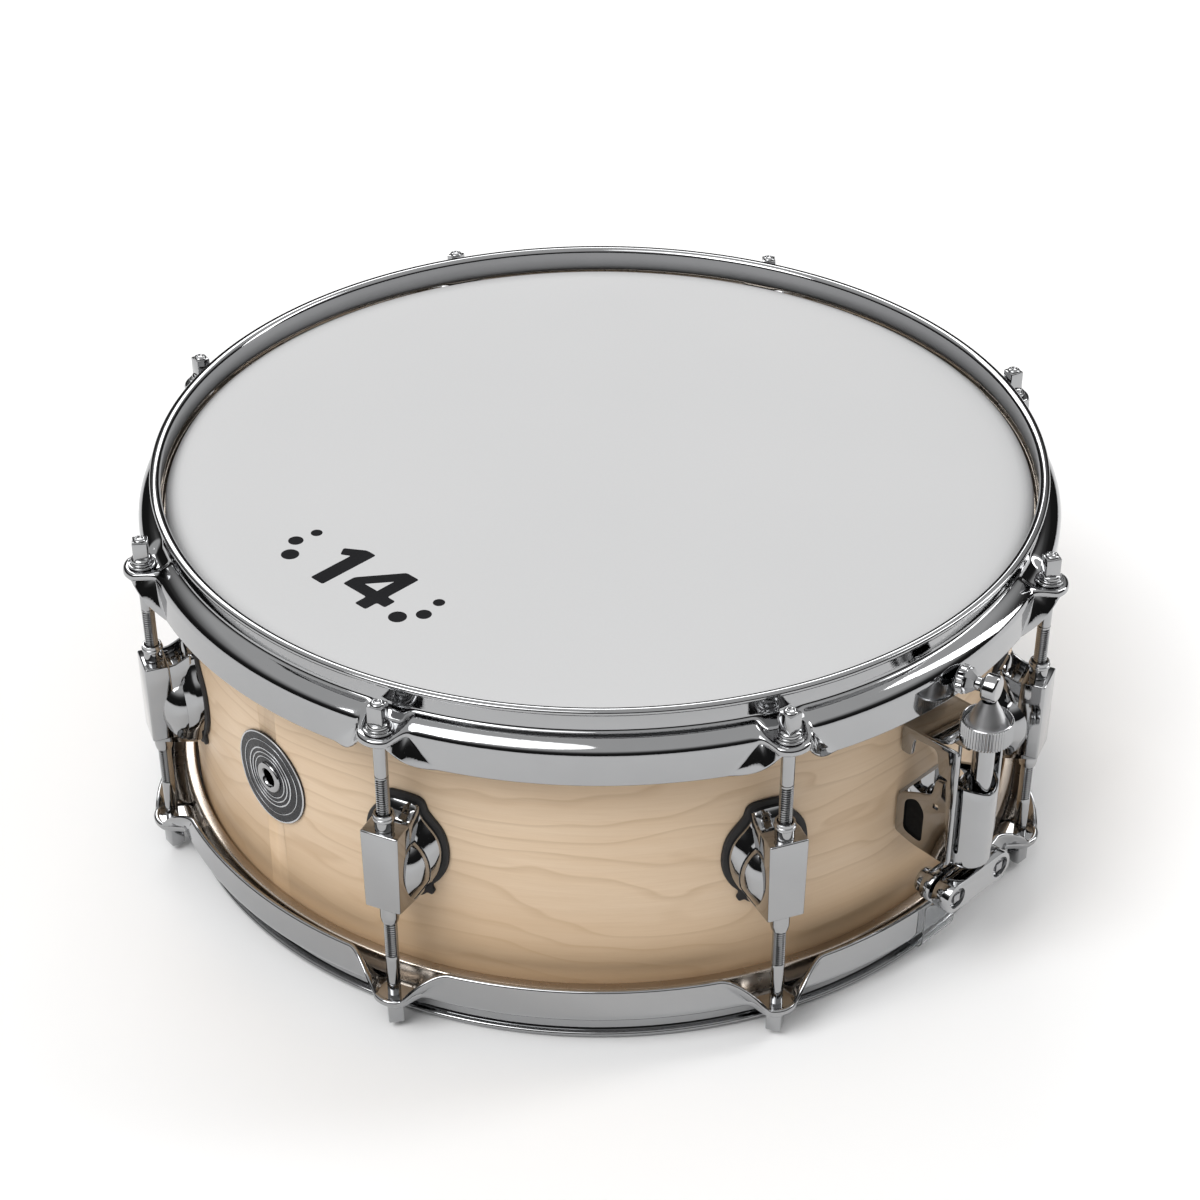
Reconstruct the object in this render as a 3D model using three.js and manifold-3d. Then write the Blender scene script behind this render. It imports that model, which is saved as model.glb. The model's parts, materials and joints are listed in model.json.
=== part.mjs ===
// A 14 by 5.5 inch snare drum: maple shell, triple-flanged hoops, eight single-post lugs,
// sixteen tension rods, a throw-off strainer, its butt plate and a set of snare wires.
//
// Frame: millimetres, +Z up. The origin is on the drum's axis, on the plane that the
// snare-side rim rests on. Fittings are modelled in a local frame at the drum's side,
// with +X radial (outwards), +Y along the side and +Z up, and are then turned into place.

import * as THREE from 'three';
import { mergeVertices } from 'three/addons/utils/BufferGeometryUtils.js';
import Module from 'manifold-3d';

const wasm = await Module();
wasm.setup();

// ---------------------------------------------------------------- driving dimensions

const REST_GAP = 0.3; // between pieces that rest on each other
const SLIDE_GAP = 0.5; // between a piece and the bore or slot that it moves in
const CUT_REACH = 400; // how far a cutter runs past everything that it cuts

const SHELL_RADIUS = 177.8;
const SHELL_DEPTH = 139.7;
const SHELL_WALL = 6.4;
const EDGE_CHAMFER = 5.0; // the 45 degree cut inside each bearing edge
const EDGE_ROUND = 1.2; // the round-over outside each bearing edge
const SHELL_STEPS = 72;

const RIM_RISE = 9.6; // rim plane above the bearing edge
const HOOP_SHEET = 2.3;
const RIM_LIP = 4.9; // width of the rim's turned-out lip
const HOOP_CLEARANCE = 3.8; // inside of the hoop's wall, out from the shell
const HOOP_FOOT_DEPTH = 2.7; // the wall's foot, below the ledge's inner edge
const SKIRT_REACH = 10.4; // outside of the skirt, out from the hoop's wall
const LEDGE_SLOPE = 1.6; // how far the ledge falls outside the wall's foot
const LEDGE_BEND = 3.5; // where the ledge's slope ends, out from the wall
const SKIRT_DROP = 28.6; // skirt's free edge, from the rim plane
const WALL_FOOT_DROP = 9.8;
const FOLD_DROP = 14.6; // the fold between ledge and skirt, between two rods
const EAR_REACH = 8.0; // how far an ear's tip stands out past the rod's axis
const EAR_DROP = 14.2; // an ear's flat top, from the rim plane
const EAR_TIP_DROP = 17.2; // the skirt's free edge at an ear's tip
const EAR_HALF_WIDTH = 6.0;
const EAR_SHOULDER = 11.0; // where the ledge is back at the skirt's radius
const EAR_FLARE = 22.0; // where the skirt is back to its full depth

const FILM_THICKNESS = 0.5;
const FLESH_WALL = 5.2;
const FLESH_HEIGHT = 10.0;
const FLESH_SEAT_DEPTH = 4.0; // the rebate that holds the film's collar
const FLESH_CLEARANCE = 1.4; // flesh hoop's bore around the shell
const HEAD_STEPS = 56;

const ROD_COUNT = 8;
const FIRST_ROD_ANGLE = 22.5;
const ROD_STANDOUT = 2.5; // rod's axis, out from the skirt
const ROD_RADIUS = 2.7;
const ROD_HEAD_SIZE = 6.2;
const ROD_HEAD_HEIGHT = 9.8;
const WASHER_RADIUS = 5.75;
const WASHER_THICKNESS = 1.6;
const ROD_END_OFFSET = 3.0; // rod's free end, from the lug's middle
const ROD_STEPS = 8;

const GASKET_THICKNESS = 1.5;
const GASKET_HALF_WIDTH = 17.8;
const GASKET_HALF_HEIGHT = 19.5;
const LUG_PLATE_THICKNESS = 2.4;
const LUG_PLATE_INSET = 2.2; // gasket border that shows around the lug
const LUG_ARCH_HALF_WIDTH = 8.4;
const LUG_ARCH_HEIGHT = 24.9; // top of the gasket's arch above the lug's middle
const LUG_COLUMN_HALF_WIDTH = 7.8;
const LUG_COLUMN_FRONT = 5.3; // column's face in front of the rod's axis
const LUG_COLUMN_TOP = 19.4;
const LUG_COLUMN_BOTTOM = -17.2;
const LUG_DOME_RADIUS = 13.6;
const LUG_DOME_HALF_HEIGHT = 16.5;
const LUG_DOME_DROP = 4.0; // dome's centre below the lug's middle
const INSERT_CLEARANCE = 0.4; // sleeve's bore around the rod
const INSERT_WALL = 0.6;
const INSERT_FLANGE_REACH = 0.7;
const INSERT_FLANGE_THICKNESS = 2.0;
const INSERT_STANDOUT = 6.8; // insert's ends beyond the column's ends

const BADGE_ANGLE = 225.0;
const BADGE_RADIUS = 20.5;
const BADGE_THICKNESS = 0.9;
const VENT_BORE_RADIUS = 3.6;
const VENT_TUBE_RADIUS = 4.8;

const STRAINER_ANGLE = -43.1;
const STRAINER_STANDOFF = 28.7; // the vertical stem's axis, out from the shell
const BRACKET_HALF_WIDTH = 14.5;
const BRACKET_SHEET = 2.0;
const BRACKET_DEPTH = 27.7; // bracket's front face, out from the shell
const BRACKET_RISE = 36.55; // bracket's top above the drum's mid height
const BRACKET_FALL = 18.45; // bracket's foot below the drum's mid height
const BRACKET_SPINE = 8.0; // width of the side walls' front spine
const BRACKET_ARM_DEPTH = 9.0; // depth of the walls' upper arm where it meets the shell
const BRACKET_ROOF_REACH = 8.0; // how far the roof runs out from the shell
const BRACKET_FOOT_RISE = 13.0; // top of the walls' foot above the bracket's lower edge
const BRACKET_FOOT_BEND = 27.0; // where the foot's slope meets the spine
const COVER_RADIUS = 9.8;
const COVER_SETBACK = 3.3; // cover's round front, centred behind the stem's axis
const COVER_TAIL = 3.8; // the cover's straight sides, behind its round front
const COVER_SHEET = 1.8;
const COVER_FALL = 2.9; // cover's lower edge below the bracket's foot
const COVER_HEIGHT = 38.4;
const BARREL_RADIUS = 4.3;
const RIB_RISE = 14.0; // the cover's inner rib, above the cover's lower edge
const RIB_HEIGHT = 8.0;
const BARREL_RISE = 0.3; // barrel's top above the bracket's top
const STEM_RADIUS = 2.2;
const STEM_SETBACK = 10.3; // stem's end below the barrel's top
const KNOB_RADIUS = 10.25;
const KNOB_HEIGHT = 9.8;
const KNOB_CONE_HEIGHT = 8.0;
const KNOB_NECK_RADIUS = 3.8;
const LEVER_RISE = 24.3; // handle's axis above the barrel's top
const LEVER_HUB_RADIUS = 5.4;
const LEVER_HUB_REACH = 1.8; // hub's outer face from the stem's axis
const LEVER_HUB_LENGTH = 6.0;
const LEVER_NECK_RADIUS = 3.2;
const LEVER_GRIP_RADIUS = 5.8;
const LEVER_GRIP_REACH = 13.1; // grip's inner end from the stem's axis
const THROW_GAP = 4.0; // between the stem's end and the lever's post
const CLAMP_DROP = 13.3; // clamp screws below the bracket's foot
const CLAMP_SCREW_OFFSET = 13.4;
const CLAMP_END_RADIUS = 6.6;
const CLAMP_BAR_THICKNESS = 8.0;
const CLAMP_PLATE_THICKNESS = 4.8;
const CLAMP_SETBACK = 3.8; // clamp bar's inner face behind the stem's axis

const BUTT_FOOT_FALL = 7.7; // plate's lower edge below the clamp screws
const BUTT_PLATE_RISE = 44.3; // plate's upper edge above the clamp screws
const BUTT_ARM_HALF_HEIGHT = 7.0;
const BUTT_CLAMP_THICKNESS = 4.6;
const BUTT_SHEET = 3.4; // thickness of the plate's upper tongue

const STRAP_THICKNESS = 0.8;
const STRAP_HALF_WIDTH = 10.0;
const STRAP_STANDOFF = 1.4; // strap's middle, out from the skirt
const STRAP_RUN = 13.5; // height over which the strap leans out to its clamp
const GATE_CLEARANCE = 1.1; // snare gate above the strap
const GATE_SIDE_CLEARANCE = 3.0; // snare gate beside the strap
const WIRE_COUNT = 20;
const WIRE_PITCH = 2.3;
const WIRE_RADIUS = 1.0;
const WIRE_PLATE_INSET = 13.8; // wire plate's outer end, in from the shell's outside
const WIRE_PLATE_LENGTH = 12.0;
const WIRE_PLATE_THICKNESS = 1.2;

// ---------------------------------------------------------------- derived places

const MID_HEIGHT = RIM_RISE + SHELL_DEPTH / 2;
const BADGE_HEIGHT = MID_HEIGHT;
const HOOP_BORE_RADIUS = SHELL_RADIUS + HOOP_CLEARANCE;
const SKIRT_RADIUS = HOOP_BORE_RADIUS + SKIRT_REACH;
const ROD_CIRCLE_RADIUS = SKIRT_RADIUS + ROD_STANDOUT;
const RIM_OUTER_RADIUS = HOOP_BORE_RADIUS + RIM_LIP;
const WALL_OUTER_RADIUS = HOOP_BORE_RADIUS + HOOP_SHEET;
const EAR_TIP_RADIUS = ROD_CIRCLE_RADIUS + EAR_REACH;
const RIM_OFFSET = SHELL_DEPTH / 2 + RIM_RISE; // rim plane from mid height
const FLESH_INNER_RADIUS = SHELL_RADIUS + FLESH_CLEARANCE;
const FLESH_OUTER_RADIUS = FLESH_INNER_RADIUS + FLESH_WALL;
const HOOP_FOOT_DROP = WALL_FOOT_DROP + HOOP_FOOT_DEPTH; // underside of the wall's foot
const FLESH_OFFSET = RIM_OFFSET - HOOP_FOOT_DROP - REST_GAP; // its face under the hoop
const COLLAR_RADIUS = HOOP_BORE_RADIUS - 2 * REST_GAP; // outside of the film's collar
const GASKET_RADIUS = SHELL_RADIUS + REST_GAP;
const LUG_BACK_RADIUS = GASKET_RADIUS + GASKET_THICKNESS + REST_GAP;
const COLUMN_FRONT_RADIUS = ROD_CIRCLE_RADIUS + LUG_COLUMN_FRONT;
const INSERT_BORE_RADIUS = ROD_RADIUS + INSERT_CLEARANCE;
const INSERT_RADIUS = INSERT_BORE_RADIUS + INSERT_WALL;
const INSERT_FLANGE_RADIUS = INSERT_RADIUS + INSERT_FLANGE_REACH;
const STRAINER_AXIS_RADIUS = SHELL_RADIUS + STRAINER_STANDOFF;
const BRACKET_FRONT_RADIUS = SHELL_RADIUS + BRACKET_DEPTH;
const BRACKET_TOP = MID_HEIGHT + BRACKET_RISE;
const BRACKET_BOTTOM = MID_HEIGHT - BRACKET_FALL;
const COVER_BOTTOM = BRACKET_BOTTOM - COVER_FALL;
const COVER_TOP = COVER_BOTTOM + COVER_HEIGHT;
const BARREL_TOP = BRACKET_TOP + BARREL_RISE;
const STEM_TOP = BARREL_TOP - STEM_SETBACK;
const LEVER_HEIGHT = BARREL_TOP + LEVER_RISE;
const LEVER_POST_BOTTOM = STEM_TOP + THROW_GAP;
const CLAMP_HEIGHT = BRACKET_BOTTOM - CLAMP_DROP;
const CLAMP_FACE_RADIUS = STRAINER_AXIS_RADIUS - CLAMP_SETBACK;
const STRAP_CLAMP_RADIUS = CLAMP_FACE_RADIUS - REST_GAP - STRAP_THICKNESS / 2;
const CLAMP_PLATE_FACE = STRAP_CLAMP_RADIUS - STRAP_THICKNESS / 2 - REST_GAP;
const HEAD_FACE_HEIGHT = RIM_RISE - REST_GAP - FILM_THICKNESS; // snare-side film's face
const WIRE_HEIGHT = HEAD_FACE_HEIGHT - REST_GAP - WIRE_RADIUS;
const WIRE_PLATE_OUTER = SHELL_RADIUS - WIRE_PLATE_INSET;
const WIRE_PLATE_INNER = WIRE_PLATE_OUTER - WIRE_PLATE_LENGTH;
const GATE_FLOOR = HOOP_SHEET + 0.1;
const GATE_CEILING = WIRE_HEIGHT + STRAP_THICKNESS / 2 + GATE_CLEARANCE;

// ---------------------------------------------------------------- solid helpers

/** Merges the shared vertices, drops empty triangles and turns every face outwards. */
function closedSolid(geometry) {
  const bare = geometry.index ? geometry.toNonIndexed() : geometry.clone();
  bare.deleteAttribute('normal');
  bare.deleteAttribute('uv');
  const merged = mergeVertices(bare, 1e-4);
  const positions = merged.attributes.position;
  const corner = [new THREE.Vector3(), new THREE.Vector3(), new THREE.Vector3()];
  const kept = [];
  let volume = 0;
  for (let i = 0; i < merged.index.count; i += 3) {
    const ids = [0, 1, 2].map((k) => merged.index.getX(i + k));
    if (ids[0] === ids[1] || ids[1] === ids[2] || ids[2] === ids[0]) continue;
    corner.forEach((v, k) => v.fromBufferAttribute(positions, ids[k]));
    volume += corner[0].dot(corner[1].clone().cross(corner[2]));
    kept.push(ids);
  }
  const faces = volume < 0 ? kept.map(([a, b, c]) => [a, c, b]) : kept;
  merged.setIndex(faces.flat());
  return merged;
}

function toManifold(geometry) {
  const solid = closedSolid(geometry);
  const mesh = new wasm.Mesh({
    numProp: 3,
    vertProperties: new Float32Array(solid.attributes.position.array),
    triVerts: new Uint32Array(solid.index.array),
  });
  return new wasm.Manifold(mesh);
}

function fromManifold(manifold) {
  const mesh = manifold.getMesh();
  const geometry = new THREE.BufferGeometry();
  geometry.setAttribute('position', new THREE.BufferAttribute(mesh.vertProperties, 3));
  geometry.setIndex(new THREE.BufferAttribute(mesh.triVerts, 1));
  return geometry;
}

/** Joins the first list of solids and cuts the second list out of the result. */
function combine(joined, cut = []) {
  let body = joined.map(toManifold).reduce((a, b) => a.add(b));
  cut.map(toManifold).forEach((tool) => {
    body = body.subtract(tool);
  });
  return fromManifold(body);
}

function common(a, b) {
  return fromManifold(toManifold(a).intersect(toManifold(b)));
}

/** Turns a profile of [radius, height] points about the Z axis. */
function turned(points, steps) {
  const profile = points.map(([r, h]) => new THREE.Vector2(r, h));
  return new THREE.LatheGeometry(profile, steps).rotateX(Math.PI / 2);
}

/** A ring turned from a closed profile that doesn't touch the axis. */
function turnedRing(points, steps) {
  return turned([...points, points[0]], steps);
}

function tube(inner, outer, bottom, top, steps) {
  return turnedRing([[inner, bottom], [outer, bottom], [outer, top], [inner, top]], steps);
}

function rod(radius, bottom, top, steps) {
  return turned([[0, bottom], [radius, bottom], [radius, top], [0, top]], steps);
}

function box(xRange, yRange, zRange) {
  const size = [xRange, yRange, zRange].map(([low, high]) => high - low);
  const centre = [xRange, yRange, zRange].map(([low, high]) => (low + high) / 2);
  return new THREE.BoxGeometry(...size).translate(...centre);
}

function shapeOf(points) {
  return new THREE.Shape(points.map(([x, y]) => new THREE.Vector2(x, y)));
}

/** Extrudes an outline of [x, z] points along Y, from -halfWidth to +halfWidth. */
function extrudedAcross(outline, halfWidth) {
  const options = { depth: 2 * halfWidth, bevelEnabled: false, curveSegments: 8 };
  const geometry = new THREE.ExtrudeGeometry(outline, options);
  return geometry.rotateX(Math.PI / 2).translate(0, halfWidth, 0);
}

/** Extrudes an outline of [y, z] points along X, from the first radius to the second. */
function extrudedOutwards(outline, from, to) {
  const options = { depth: to - from, bevelEnabled: false, curveSegments: 8 };
  const geometry = new THREE.ExtrudeGeometry(outline, options);
  const axes = new THREE.Matrix4().makeBasis(
    new THREE.Vector3(0, 1, 0), new THREE.Vector3(0, 0, 1), new THREE.Vector3(1, 0, 0));
  return geometry.applyMatrix4(axes).translate(from, 0, 0);
}

/** A bore along X at the given height, through everything between the two radii. */
function radialBore(radius, height, from, to) {
  return rod(radius, from, to, 16).rotateY(Math.PI / 2).translate(0, 0, height);
}

/** The drum's outside as a cutter: everything nearer the axis than the radius. */
function shellCutter(radius, phase = 0) {
  const cutter = rod(radius, -CUT_REACH, CUT_REACH, SHELL_STEPS);
  return cutter.rotateZ(THREE.MathUtils.degToRad(phase));
}

function mix(a, b, share) {
  return a + (b - a) * share;
}

function smooth(share) {
  const t = Math.min(Math.max(share, 0), 1);
  return t * t * (3 - 2 * t);
}

// ---------------------------------------------------------------- materials

const finishes = {
  maple: { color: 0xd9bb94, roughness: 0.42, metalness: 0.0 },
  chrome: { color: 0xd8d9db, roughness: 0.08, metalness: 1.0 },
  aluminium: { color: 0xb4b2ae, roughness: 0.35, metalness: 1.0 },
  film: { color: 0xf0f0ee, roughness: 0.75, metalness: 0.0 },
  clearFilm: { color: 0xe4e6e6, roughness: 0.3, metalness: 0.0 },
  rubber: { color: 0x2a2a2c, roughness: 0.7, metalness: 0.0 },
  badge: { color: 0x2c2d30, roughness: 0.35, metalness: 0.4 },
  steel: { color: 0xa9abad, roughness: 0.3, metalness: 1.0 },
  strap: { color: 0x202022, roughness: 0.6, metalness: 0.0 },
};

const drum = new THREE.Group();

/** Adds one named piece, in a local frame turned by the angle, in degrees. */
function addPiece(name, geometry, finish, angle = 0) {
  const material = new THREE.MeshStandardMaterial(finishes[finish]);
  const mesh = new THREE.Mesh(closedSolid(geometry), material);
  mesh.name = name;
  mesh.rotation.z = THREE.MathUtils.degToRad(angle);
  drum.add(mesh);
}

// ---------------------------------------------------------------- shell and heads

function shellGeometry() {
  const inner = SHELL_RADIUS - SHELL_WALL;
  const peak = inner + EDGE_CHAMFER;
  const edge = SHELL_DEPTH / 2;
  const outline = [
    [inner, -edge + EDGE_CHAMFER], [peak, -edge], [SHELL_RADIUS, -edge + EDGE_ROUND],
    [SHELL_RADIUS, edge - EDGE_ROUND], [peak, edge], [inner, edge - EDGE_CHAMFER],
  ];
  const body = turnedRing(outline, SHELL_STEPS).translate(0, 0, MID_HEIGHT);
  const vent = radialBore(VENT_TUBE_RADIUS + REST_GAP, BADGE_HEIGHT, inner - 5, SHELL_RADIUS + 5);
  vent.rotateZ(THREE.MathUtils.degToRad(BADGE_ANGLE));
  return combine([body], [vent]);
}

/** A drumhead's film with its collar, on the batter side of mid height. */
function filmGeometry() {
  const under = SHELL_DEPTH / 2 + REST_GAP;
  const over = under + FILM_THICKNESS;
  const inner = COLLAR_RADIUS - FILM_THICKNESS;
  const turn = SHELL_RADIUS - EDGE_ROUND + REST_GAP;
  const end = FLESH_OFFSET - FLESH_SEAT_DEPTH + REST_GAP;
  return turned([
    [0, under], [turn, under], [inner, under - 2.6], [inner, end],
    [COLLAR_RADIUS, end], [COLLAR_RADIUS, over - 2.9], [turn, over], [0, over],
  ], HEAD_STEPS);
}

/** The ring round the film's collar, which the hoop presses on. */
function fleshHoopGeometry() {
  const bottom = FLESH_OFFSET - FLESH_HEIGHT;
  const seat = FLESH_OFFSET - FLESH_SEAT_DEPTH;
  return turnedRing([
    [FLESH_INNER_RADIUS, bottom], [FLESH_OUTER_RADIUS, bottom], [FLESH_OUTER_RADIUS, FLESH_OFFSET],
    [COLLAR_RADIUS + REST_GAP, FLESH_OFFSET], [COLLAR_RADIUS + REST_GAP, seat], [FLESH_INNER_RADIUS, seat],
  ], HEAD_STEPS);
}

/** Places a piece made about mid height on the batter side, or mirrored on the snare side. */
function onSide(geometry, side) {
  const placed = geometry.clone();
  if (side < 0) placed.scale(1, 1, -1);
  return placed.translate(0, 0, MID_HEIGHT);
}

// ---------------------------------------------------------------- hoops

/** The hoop's section at a distance along the side from the nearest rod: [radius, drop]. */
function hoopSection(distance) {
  const ear = smooth((EAR_SHOULDER - distance) / (EAR_SHOULDER - EAR_HALF_WIDTH + 1));
  const flare = Math.min(Math.max((EAR_FLARE - distance) / (EAR_FLARE - EAR_HALF_WIDTH), 0), 1);
  const fold = mix(SKIRT_RADIUS, EAR_TIP_RADIUS, ear);
  const foldDrop = mix(FOLD_DROP, EAR_DROP, ear);
  const edge = mix(SKIRT_RADIUS, EAR_TIP_RADIUS, flare);
  const edgeDrop = mix(SKIRT_DROP, EAR_TIP_DROP, flare * flare);
  const ledgeDrop = mix(WALL_FOOT_DROP + LEDGE_SLOPE, EAR_DROP, ear);
  return [
    [HOOP_BORE_RADIUS, 0],
    [RIM_OUTER_RADIUS, 0],
    [RIM_OUTER_RADIUS, HOOP_SHEET],
    [WALL_OUTER_RADIUS, HOOP_SHEET],
    [WALL_OUTER_RADIUS, WALL_FOOT_DROP],
    [WALL_OUTER_RADIUS + LEDGE_BEND, ledgeDrop],
    [fold, foldDrop],
    [edge, edgeDrop],
    [edge - HOOP_SHEET, edgeDrop],
    [fold - HOOP_SHEET, Math.min(foldDrop + HOOP_SHEET - 0.2, edgeDrop - 0.4)],
    [WALL_OUTER_RADIUS + LEDGE_BEND - 0.5, ledgeDrop + HOOP_SHEET],
    [WALL_OUTER_RADIUS + 0.9, HOOP_FOOT_DROP],
    [HOOP_BORE_RADIUS, HOOP_FOOT_DROP],
  ];
}

/** Distances along the side, from one rod to just before the next, where sections stand. */
function sectionDistances() {
  const span = (2 * Math.PI * WALL_OUTER_RADIUS) / ROD_COUNT;
  const near = [0, EAR_HALF_WIDTH, EAR_SHOULDER, mix(EAR_SHOULDER, EAR_FLARE, 0.5), EAR_FLARE,
    mix(EAR_FLARE, span / 2, 0.5)];
  const far = near.slice(1).reverse().map((distance) => span - distance);
  return { span, distances: [...near, span / 2, ...far] };
}

/** A triple-flanged hoop swept round the drum, made about mid height on the batter side. */
function hoopGeometry() {
  const { span, distances } = sectionDistances();
  const positions = [];
  for (let i = 0; i < ROD_COUNT; i += 1) {
    for (const distance of distances) {
      const turn = (2 * Math.PI * (i + distance / span)) / ROD_COUNT;
      const angle = THREE.MathUtils.degToRad(FIRST_ROD_ANGLE) + turn;
      for (const [radius, drop] of hoopSection(Math.min(distance, span - distance))) {
        positions.push(radius * Math.cos(angle), radius * Math.sin(angle), RIM_OFFSET - drop);
      }
    }
  }
  const rings = ROD_COUNT * distances.length;
  const size = hoopSection(0).length;
  const faces = [];
  for (let ring = 0; ring < rings; ring += 1) {
    const next = (ring + 1) % rings;
    for (let k = 0; k < size; k += 1) {
      const across = (k + 1) % size;
      const [a, b, c, d] = [ring * size + k, next * size + k, next * size + across, ring * size + across];
      faces.push(a, b, c, a, c, d);
    }
  }
  const geometry = new THREE.BufferGeometry();
  geometry.setAttribute('position', new THREE.Float32BufferAttribute(positions, 3));
  geometry.setIndex(faces);
  return geometry;
}

function rodAngles() {
  return Array.from({ length: ROD_COUNT }, (_, i) => FIRST_ROD_ANGLE + (360 * i) / ROD_COUNT);
}

function atAngle(geometry, angle) {
  return geometry.rotateZ(THREE.MathUtils.degToRad(angle));
}

/** The holes in the hoop's ears that the tension rods pass through. */
function earHoles() {
  return rodAngles().map((angle) => {
    const hole = rod(ROD_RADIUS + SLIDE_GAP, RIM_OFFSET - 40, RIM_OFFSET, ROD_STEPS);
    return atAngle(hole.translate(ROD_CIRCLE_RADIUS, 0, 0), angle);
  });
}

/** The slots in the snare-side hoop's wall that the snare straps pass through. */
function snareGates() {
  return [0, 180].map((turn) => {
    const halfWidth = STRAP_HALF_WIDTH + GATE_SIDE_CLEARANCE;
    const slot = box([HOOP_BORE_RADIUS - 6, RIM_OUTER_RADIUS + 1], [-halfWidth, halfWidth],
      [GATE_FLOOR, GATE_CEILING]);
    return atAngle(slot, STRAINER_ANGLE + turn);
  });
}

// ---------------------------------------------------------------- tension rods

/** A tension rod with its square head and washer, on the batter side of mid height. */
function tensionRodGeometry() {
  const washerUnder = RIM_OFFSET - EAR_DROP + REST_GAP;
  const washerTop = washerUnder + WASHER_THICKNESS;
  const shaft = turned([
    [0, ROD_END_OFFSET], [ROD_RADIUS, ROD_END_OFFSET], [ROD_RADIUS, washerUnder],
    [WASHER_RADIUS, washerUnder], [WASHER_RADIUS, washerTop], [0, washerTop],
  ], ROD_STEPS);
  const half = ROD_HEAD_SIZE / 2;
  const head = box([-half, half], [-half, half], [washerTop - 0.5, washerTop + ROD_HEAD_HEIGHT]);
  return combine([shaft, head]).translate(ROD_CIRCLE_RADIUS, 0, 0);
}

// ---------------------------------------------------------------- lugs

/** Outline of the lug's foot: an oval with a flat-sided arch on top, inset all round. */
function lugOutline(inset) {
  const halfWidth = GASKET_HALF_WIDTH - inset;
  const halfHeight = GASKET_HALF_HEIGHT - inset;
  const archHalf = LUG_ARCH_HALF_WIDTH - inset * 0.5;
  const archTop = LUG_ARCH_HEIGHT - inset;
  const points = [];
  const start = Math.acos(archHalf / halfWidth);
  const steps = 11;
  for (let i = 0; i <= steps; i += 1) {
    const angle = start - (i / steps) * (Math.PI + 2 * start);
    points.push([halfWidth * Math.cos(angle), halfHeight * Math.sin(angle)]);
  }
  points.push([-archHalf, archTop - 2.2], [-archHalf * 0.5, archTop - 0.4]);
  points.push([archHalf * 0.5, archTop - 0.4], [archHalf, archTop - 2.2]);
  return shapeOf(points);
}

function gasketGeometry(phase) {
  const pad = extrudedOutwards(lugOutline(0), SHELL_RADIUS - 8, GASKET_RADIUS + 6);
  const inner = shellCutter(GASKET_RADIUS, phase);
  const outer = shellCutter(GASKET_RADIUS + GASKET_THICKNESS, phase);
  return combine([common(pad, outer)], [inner]).translate(0, 0, MID_HEIGHT);
}

/** Side view of the lug's post: a column in front, scooped down behind its top. */
function lugPostOutline() {
  const back = LUG_BACK_RADIUS - 4;
  const archTop = LUG_ARCH_HEIGHT - LUG_PLATE_INSET - 0.8;
  return shapeOf([
    [back, archTop], [LUG_BACK_RADIUS + 2.2, archTop - 1.5], [ROD_CIRCLE_RADIUS - 8.5, LUG_COLUMN_TOP - 4],
    [ROD_CIRCLE_RADIUS - 5.5, LUG_COLUMN_TOP - 3], [ROD_CIRCLE_RADIUS - 4.9, LUG_COLUMN_TOP],
    [COLUMN_FRONT_RADIUS, LUG_COLUMN_TOP], [COLUMN_FRONT_RADIUS, LUG_COLUMN_BOTTOM],
    [LUG_BACK_RADIUS, LUG_COLUMN_BOTTOM - 1.5], [back, LUG_COLUMN_BOTTOM - 1.5],
  ]);
}

function lugGeometry(phase) {
  const plate = extrudedOutwards(lugOutline(LUG_PLATE_INSET), LUG_BACK_RADIUS - 5,
    LUG_BACK_RADIUS + LUG_PLATE_THICKNESS);
  const dome = new THREE.SphereGeometry(1, 12, 6).rotateZ(Math.PI / 2);
  const domeReach = ROD_CIRCLE_RADIUS + 1 - LUG_BACK_RADIUS;
  dome.scale(domeReach, LUG_DOME_RADIUS, LUG_DOME_HALF_HEIGHT);
  dome.translate(LUG_BACK_RADIUS, 0, -LUG_DOME_DROP);
  const post = extrudedAcross(lugPostOutline(), LUG_COLUMN_HALF_WIDTH);
  const bore = rod(INSERT_RADIUS + REST_GAP, -40, 40, ROD_STEPS).translate(ROD_CIRCLE_RADIUS, 0, 0);
  const body = combine([plate, dome, post], [shellCutter(LUG_BACK_RADIUS, phase), bore]);
  return body.translate(0, 0, MID_HEIGHT);
}

/** The threaded sleeve in the lug's column, flanged at its upper end. */
function insertGeometry() {
  const top = LUG_COLUMN_TOP + INSERT_STANDOUT;
  const bottom = LUG_COLUMN_BOTTOM - INSERT_STANDOUT - 1.5;
  const seat = LUG_COLUMN_TOP + REST_GAP;
  const sleeve = turnedRing([
    [INSERT_BORE_RADIUS, bottom], [INSERT_RADIUS, bottom], [INSERT_RADIUS, seat],
    [INSERT_FLANGE_RADIUS, seat], [INSERT_FLANGE_RADIUS, seat + INSERT_FLANGE_THICKNESS],
    [INSERT_RADIUS, seat + INSERT_FLANGE_THICKNESS], [INSERT_RADIUS, top], [INSERT_BORE_RADIUS, top],
  ], ROD_STEPS);
  return sleeve.translate(ROD_CIRCLE_RADIUS, 0, MID_HEIGHT);
}

// ---------------------------------------------------------------- badge and air vent

function badgeGeometry() {
  const disc = radialBore(BADGE_RADIUS, BADGE_HEIGHT, SHELL_RADIUS - 8, SHELL_RADIUS + 4);
  const face = common(disc, shellCutter(GASKET_RADIUS + BADGE_THICKNESS, -BADGE_ANGLE));
  const inner = SHELL_RADIUS - SHELL_WALL - 1;
  const collar = radialBore(VENT_TUBE_RADIUS, BADGE_HEIGHT, inner, GASKET_RADIUS + BADGE_THICKNESS + 0.4);
  const bore = radialBore(VENT_BORE_RADIUS, BADGE_HEIGHT, inner - 5, SHELL_RADIUS + 10);
  const plate = combine([face], [shellCutter(GASKET_RADIUS, -BADGE_ANGLE)]);
  return combine([plate, collar], [bore]);
}

// ---------------------------------------------------------------- strainer

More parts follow.
